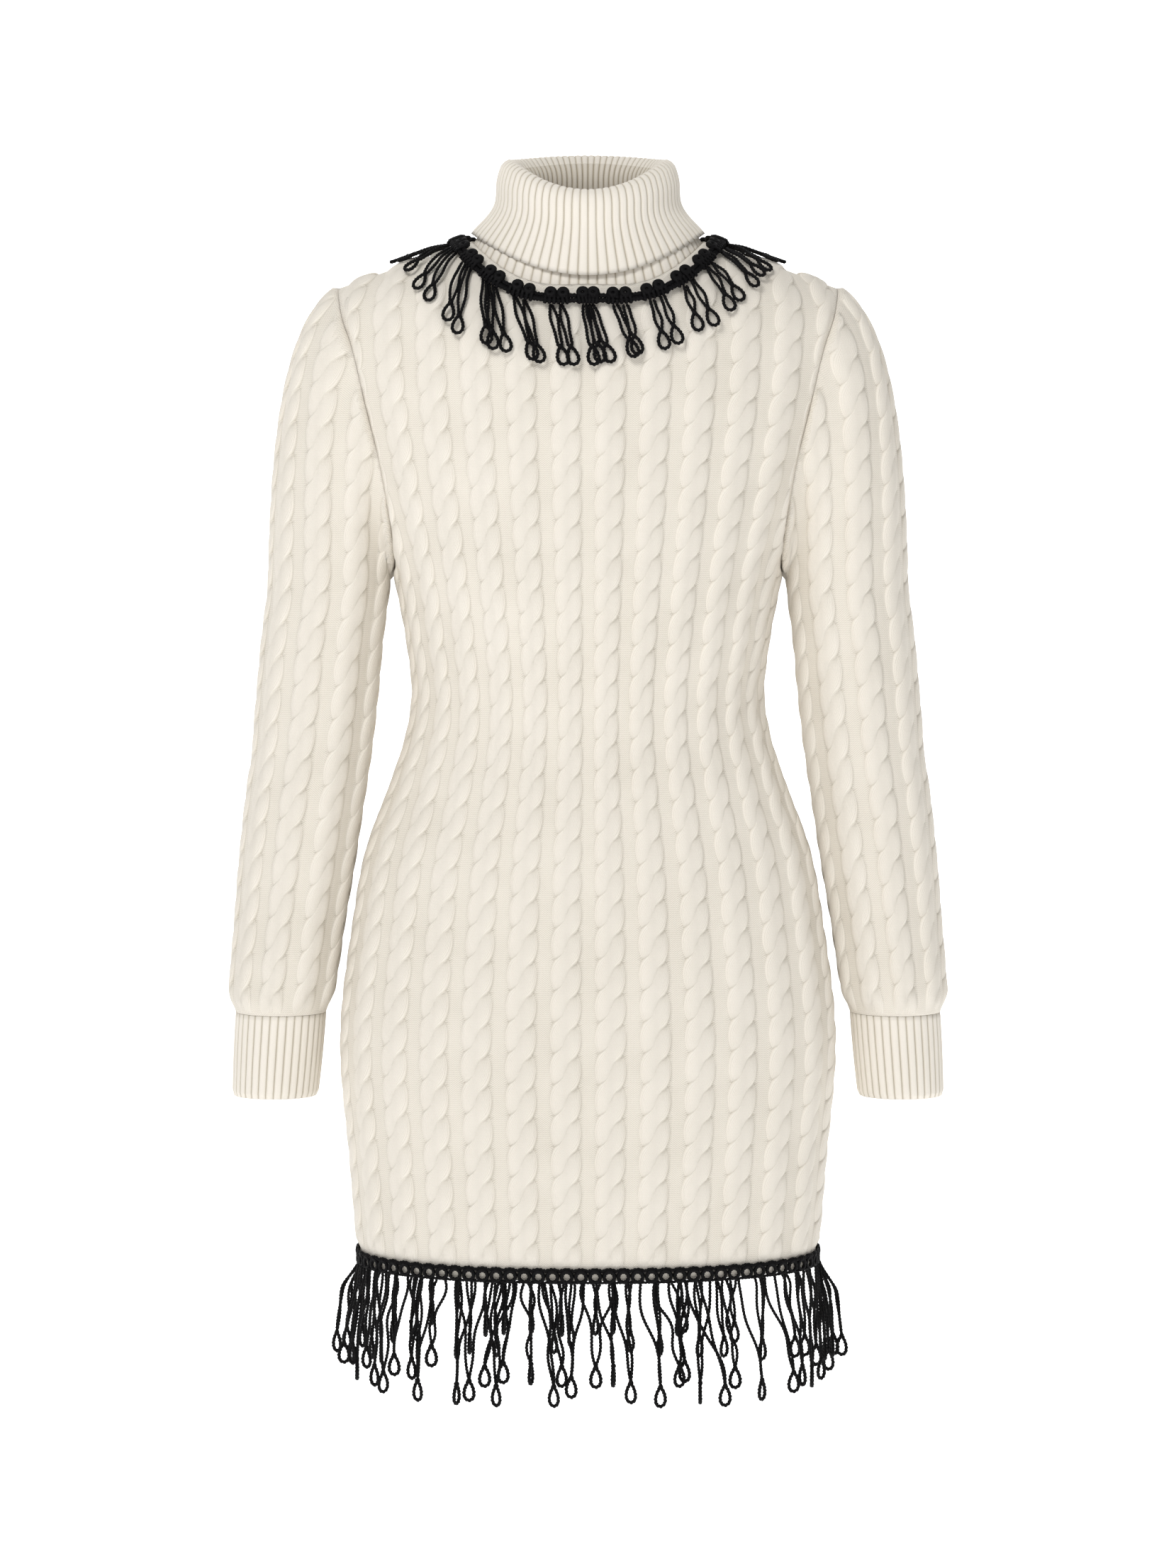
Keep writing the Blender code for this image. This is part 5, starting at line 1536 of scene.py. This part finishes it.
def add_wraps(spot, middle, clusters, cords):
    """The thicker wraps over the braid from which a cluster of cords hangs."""
    part = np.linspace(0, 1, 9)
    reach = NECK_NEAR + np.linspace(*WRAP_REACH, len(part))
    lift = WRAP_LIFT[0] + WRAP_LIFT[1] * np.sin(math.pi * part) ** 0.6
    for k in np.linspace(*WRAPS_AT):
        line, _ = spot(np.full(len(part), middle + k / clusters), reach, lift)
        along = np.gradient(line, axis=0)
        cords.add(line, WRAP_RADIUS, unit(along[:, [1, 0, 2]] * (1, -1, 0) + 1e-6))


def scallop_place(spot, share):
    centre, out = spot(share, NECK_NEAR + SCALLOP_REACH, SCALLOP_LIFT)
    ahead, _ = spot(share + 0.004, NECK_NEAR + SCALLOP_REACH, SCALLOP_LIFT)
    right = unit(ahead - centre)
    return basis(right, out, unit(np.cross(out, right)), centre)


def neck_tips(half, surface, spot, cluster, middle):
    """Places where the loops of a cluster end: as listed in front, two to a cluster behind."""
    if half == "front":
        return [surface.nearest(x, z - NECK_TIP_DROP) for c, x, z in NECK_PENDANTS if c == cluster]
    tips = []
    for k in BACK_TIPS_AT:
        reach = BACK_REACH[0] + BACK_REACH[1] * math.sin(3.1 * cluster + 5 * k)
        point, _ = spot(middle + k / NECK_CLUSTERS[half], reach, 0.0)
        tips.append(surface.nearest_on(point))
    return tips


def cord_lift(distance):
    """Height of a cord over the cloth: low at the braid, above the cables further out."""
    return CORD_LIFT[0] + CORD_LIFT[1] * ease(np.asarray(distance) / CORD_LIFT_OVER)


def add_neck_pendant(surface, root, tip, wave, cords, knots):
    """Two strands that part, meet at a knot and end in a loop, all lying on the cloth."""
    scale = np.array([surface.width, 1.0])
    root, tip = root * scale, tip * scale
    length = np.linalg.norm(tip - root)
    way = (tip - root) / length
    beside = np.array((way[1], -way[0]))
    knot_at = length - NECK_LOOP_HEIGHT

    def add(below, sideways, more, radius):
        flat = root + np.outer(below, way) + np.outer(sideways, beside)
        point, out = surface.at(flat / scale)
        cords.add(point + out * (cord_lift(below) + more)[:, None], radius, out)

    t = np.linspace(0, 1, 24)
    for side in (1, -1):
        least, midway, uneven = STRANDS_SWELL
        apart = least + midway * np.sin(math.pi * t) ** 0.8 + uneven * np.sin(9 * t + wave)
        add(t * knot_at, side * apart, side * 0.0003, CORD_RADIUS)
    sideways, below = teardrop(NECK_LOOP_HEIGHT, NECK_LOOP_WIDTH)
    add(knot_at + below, sideways, 0.0, LOOP_RADIUS * 0.95)
    knot = root + way * knot_at
    point, out = surface.at(knot / scale)
    ahead, _ = surface.at((knot - way * 0.003) / scale)
    up = unit(ahead - point)
    knots.append(basis(unit(np.cross(up, -out)), out, up, point + out * cord_lift(knot_at)))


def make_neck(panels, models):
    """Braid, wraps, scallops and looped cords round the neck."""
    cords, scallops, knots = Cords(), [], []
    for half, panel in panels.items():
        surface, spot, clusters = panel[0], neck_line_of(panel), NECK_CLUSTERS[half]
        add_braid(spot, cords)
        for cluster in range(clusters):
            middle = (cluster + 0.5) / clusters
            add_wraps(spot, middle, clusters, cords)
            scallops += [scallop_place(spot, middle + k / clusters) for k in SCALLOPS_AT]
            tips = neck_tips(half, surface, spot, cluster, middle)
            for n, tip in enumerate(tips):
                share = middle + ROOTS_SPREAD * ((n + 0.5) / len(tips) - 0.5) / clusters
                root, _ = spot(share, NECK_NEAR + PENDANT_REACH, 0.0)
                add_neck_pendant(surface, surface.nearest_on(root), tip, cluster, cords, knots)
    return [cords.finish("neck_cords"), copied("neck_scallops", models["scallop"], scallops),
            copied("neck_knots", models["knot"], knots)]


# The dress.

def make_knitted(panels):
    """The knitted pieces by the CAD node that each stands for."""
    seam = neck_seam(panels["front"], panels["back"])
    sleeve = sleeve_surface(panels["front"], panels["back"])
    made = {f"{side}_panel": make_body(f"knit_{side}", side, panel) for side, panel in panels.items()}
    sleeve.fold(SLEEVE_FOLDS)
    for name, surface, sign in (("right", sleeve, 1.0), ("left", sleeve.mirrored(), -1.0)):
        made[f"sleeve_{name}"] = make_sleeve(f"knit_sleeve_{name}", surface, sign)
        made[f"cuff_{name}"] = make_cuff(f"rib_cuff_{name}", sign)
    made["collar"] = make_collar(seam)
    return made


def make_trims(panels):
    """The pieces of each crochet trim by its CAD node."""
    models = {"ring": model_ring("hem_ring", RING), "knot": model_knot(),
              "scallop": model_ring("scallop", BRAID_SCALLOP)}
    made = {f"hem_fringe_{half}": make_hem(half, panel[0], models) for half, panel in panels.items()}
    made["neck_fringe"] = make_neck(panels, models)
    for model in models.values():
        bpy.data.objects.remove(model)
    return made


def finish_piece(piece, node, material):
    piece.data.materials.clear()
    piece.data.materials.append(material)
    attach(piece, "root")
    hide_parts(node)


def declare(knitted, trims, groups):
    """Gives every piece its material, hangs it from the root and hides the CAD part that it stands for."""
    knit, rib, crochet = knit_material(groups), rib_material(groups), crochet_material(groups)
    for node, piece in knitted.items():
        finish_piece(piece, node, knit if piece.name.startswith("knit") else rib)
    for node, pieces in trims.items():
        for piece in pieces:
            finish_piece(piece, node, crochet)


def add_world():
    world = bpy.data.worlds.new("studio")
    world.use_nodes = True
    background = world.node_tree.nodes["Background"]
    background.inputs[0].default_value = (1, 1, 1, 1)
    background.inputs[1].default_value = WORLD_LIGHT
    bpy.context.scene.world = world


def main():
    panels = {side: body_panel(side) for side in SIDES}
    knitted = make_knitted(panels)
    trims = make_trims(panels)
    groups = {"stitch": pattern_group("knit_stitch", knit_stitches),
              "purl": pattern_group("purl_rows", purl_rows), "fuzz": fuzz_group()}
    declare(knitted, trims, groups)
    add_stage()
    add_camera()
    add_world()
    for light in LIGHTS:
        add_light(*light)
    bpy.context.scene.view_settings.view_transform = "Standard"


main()
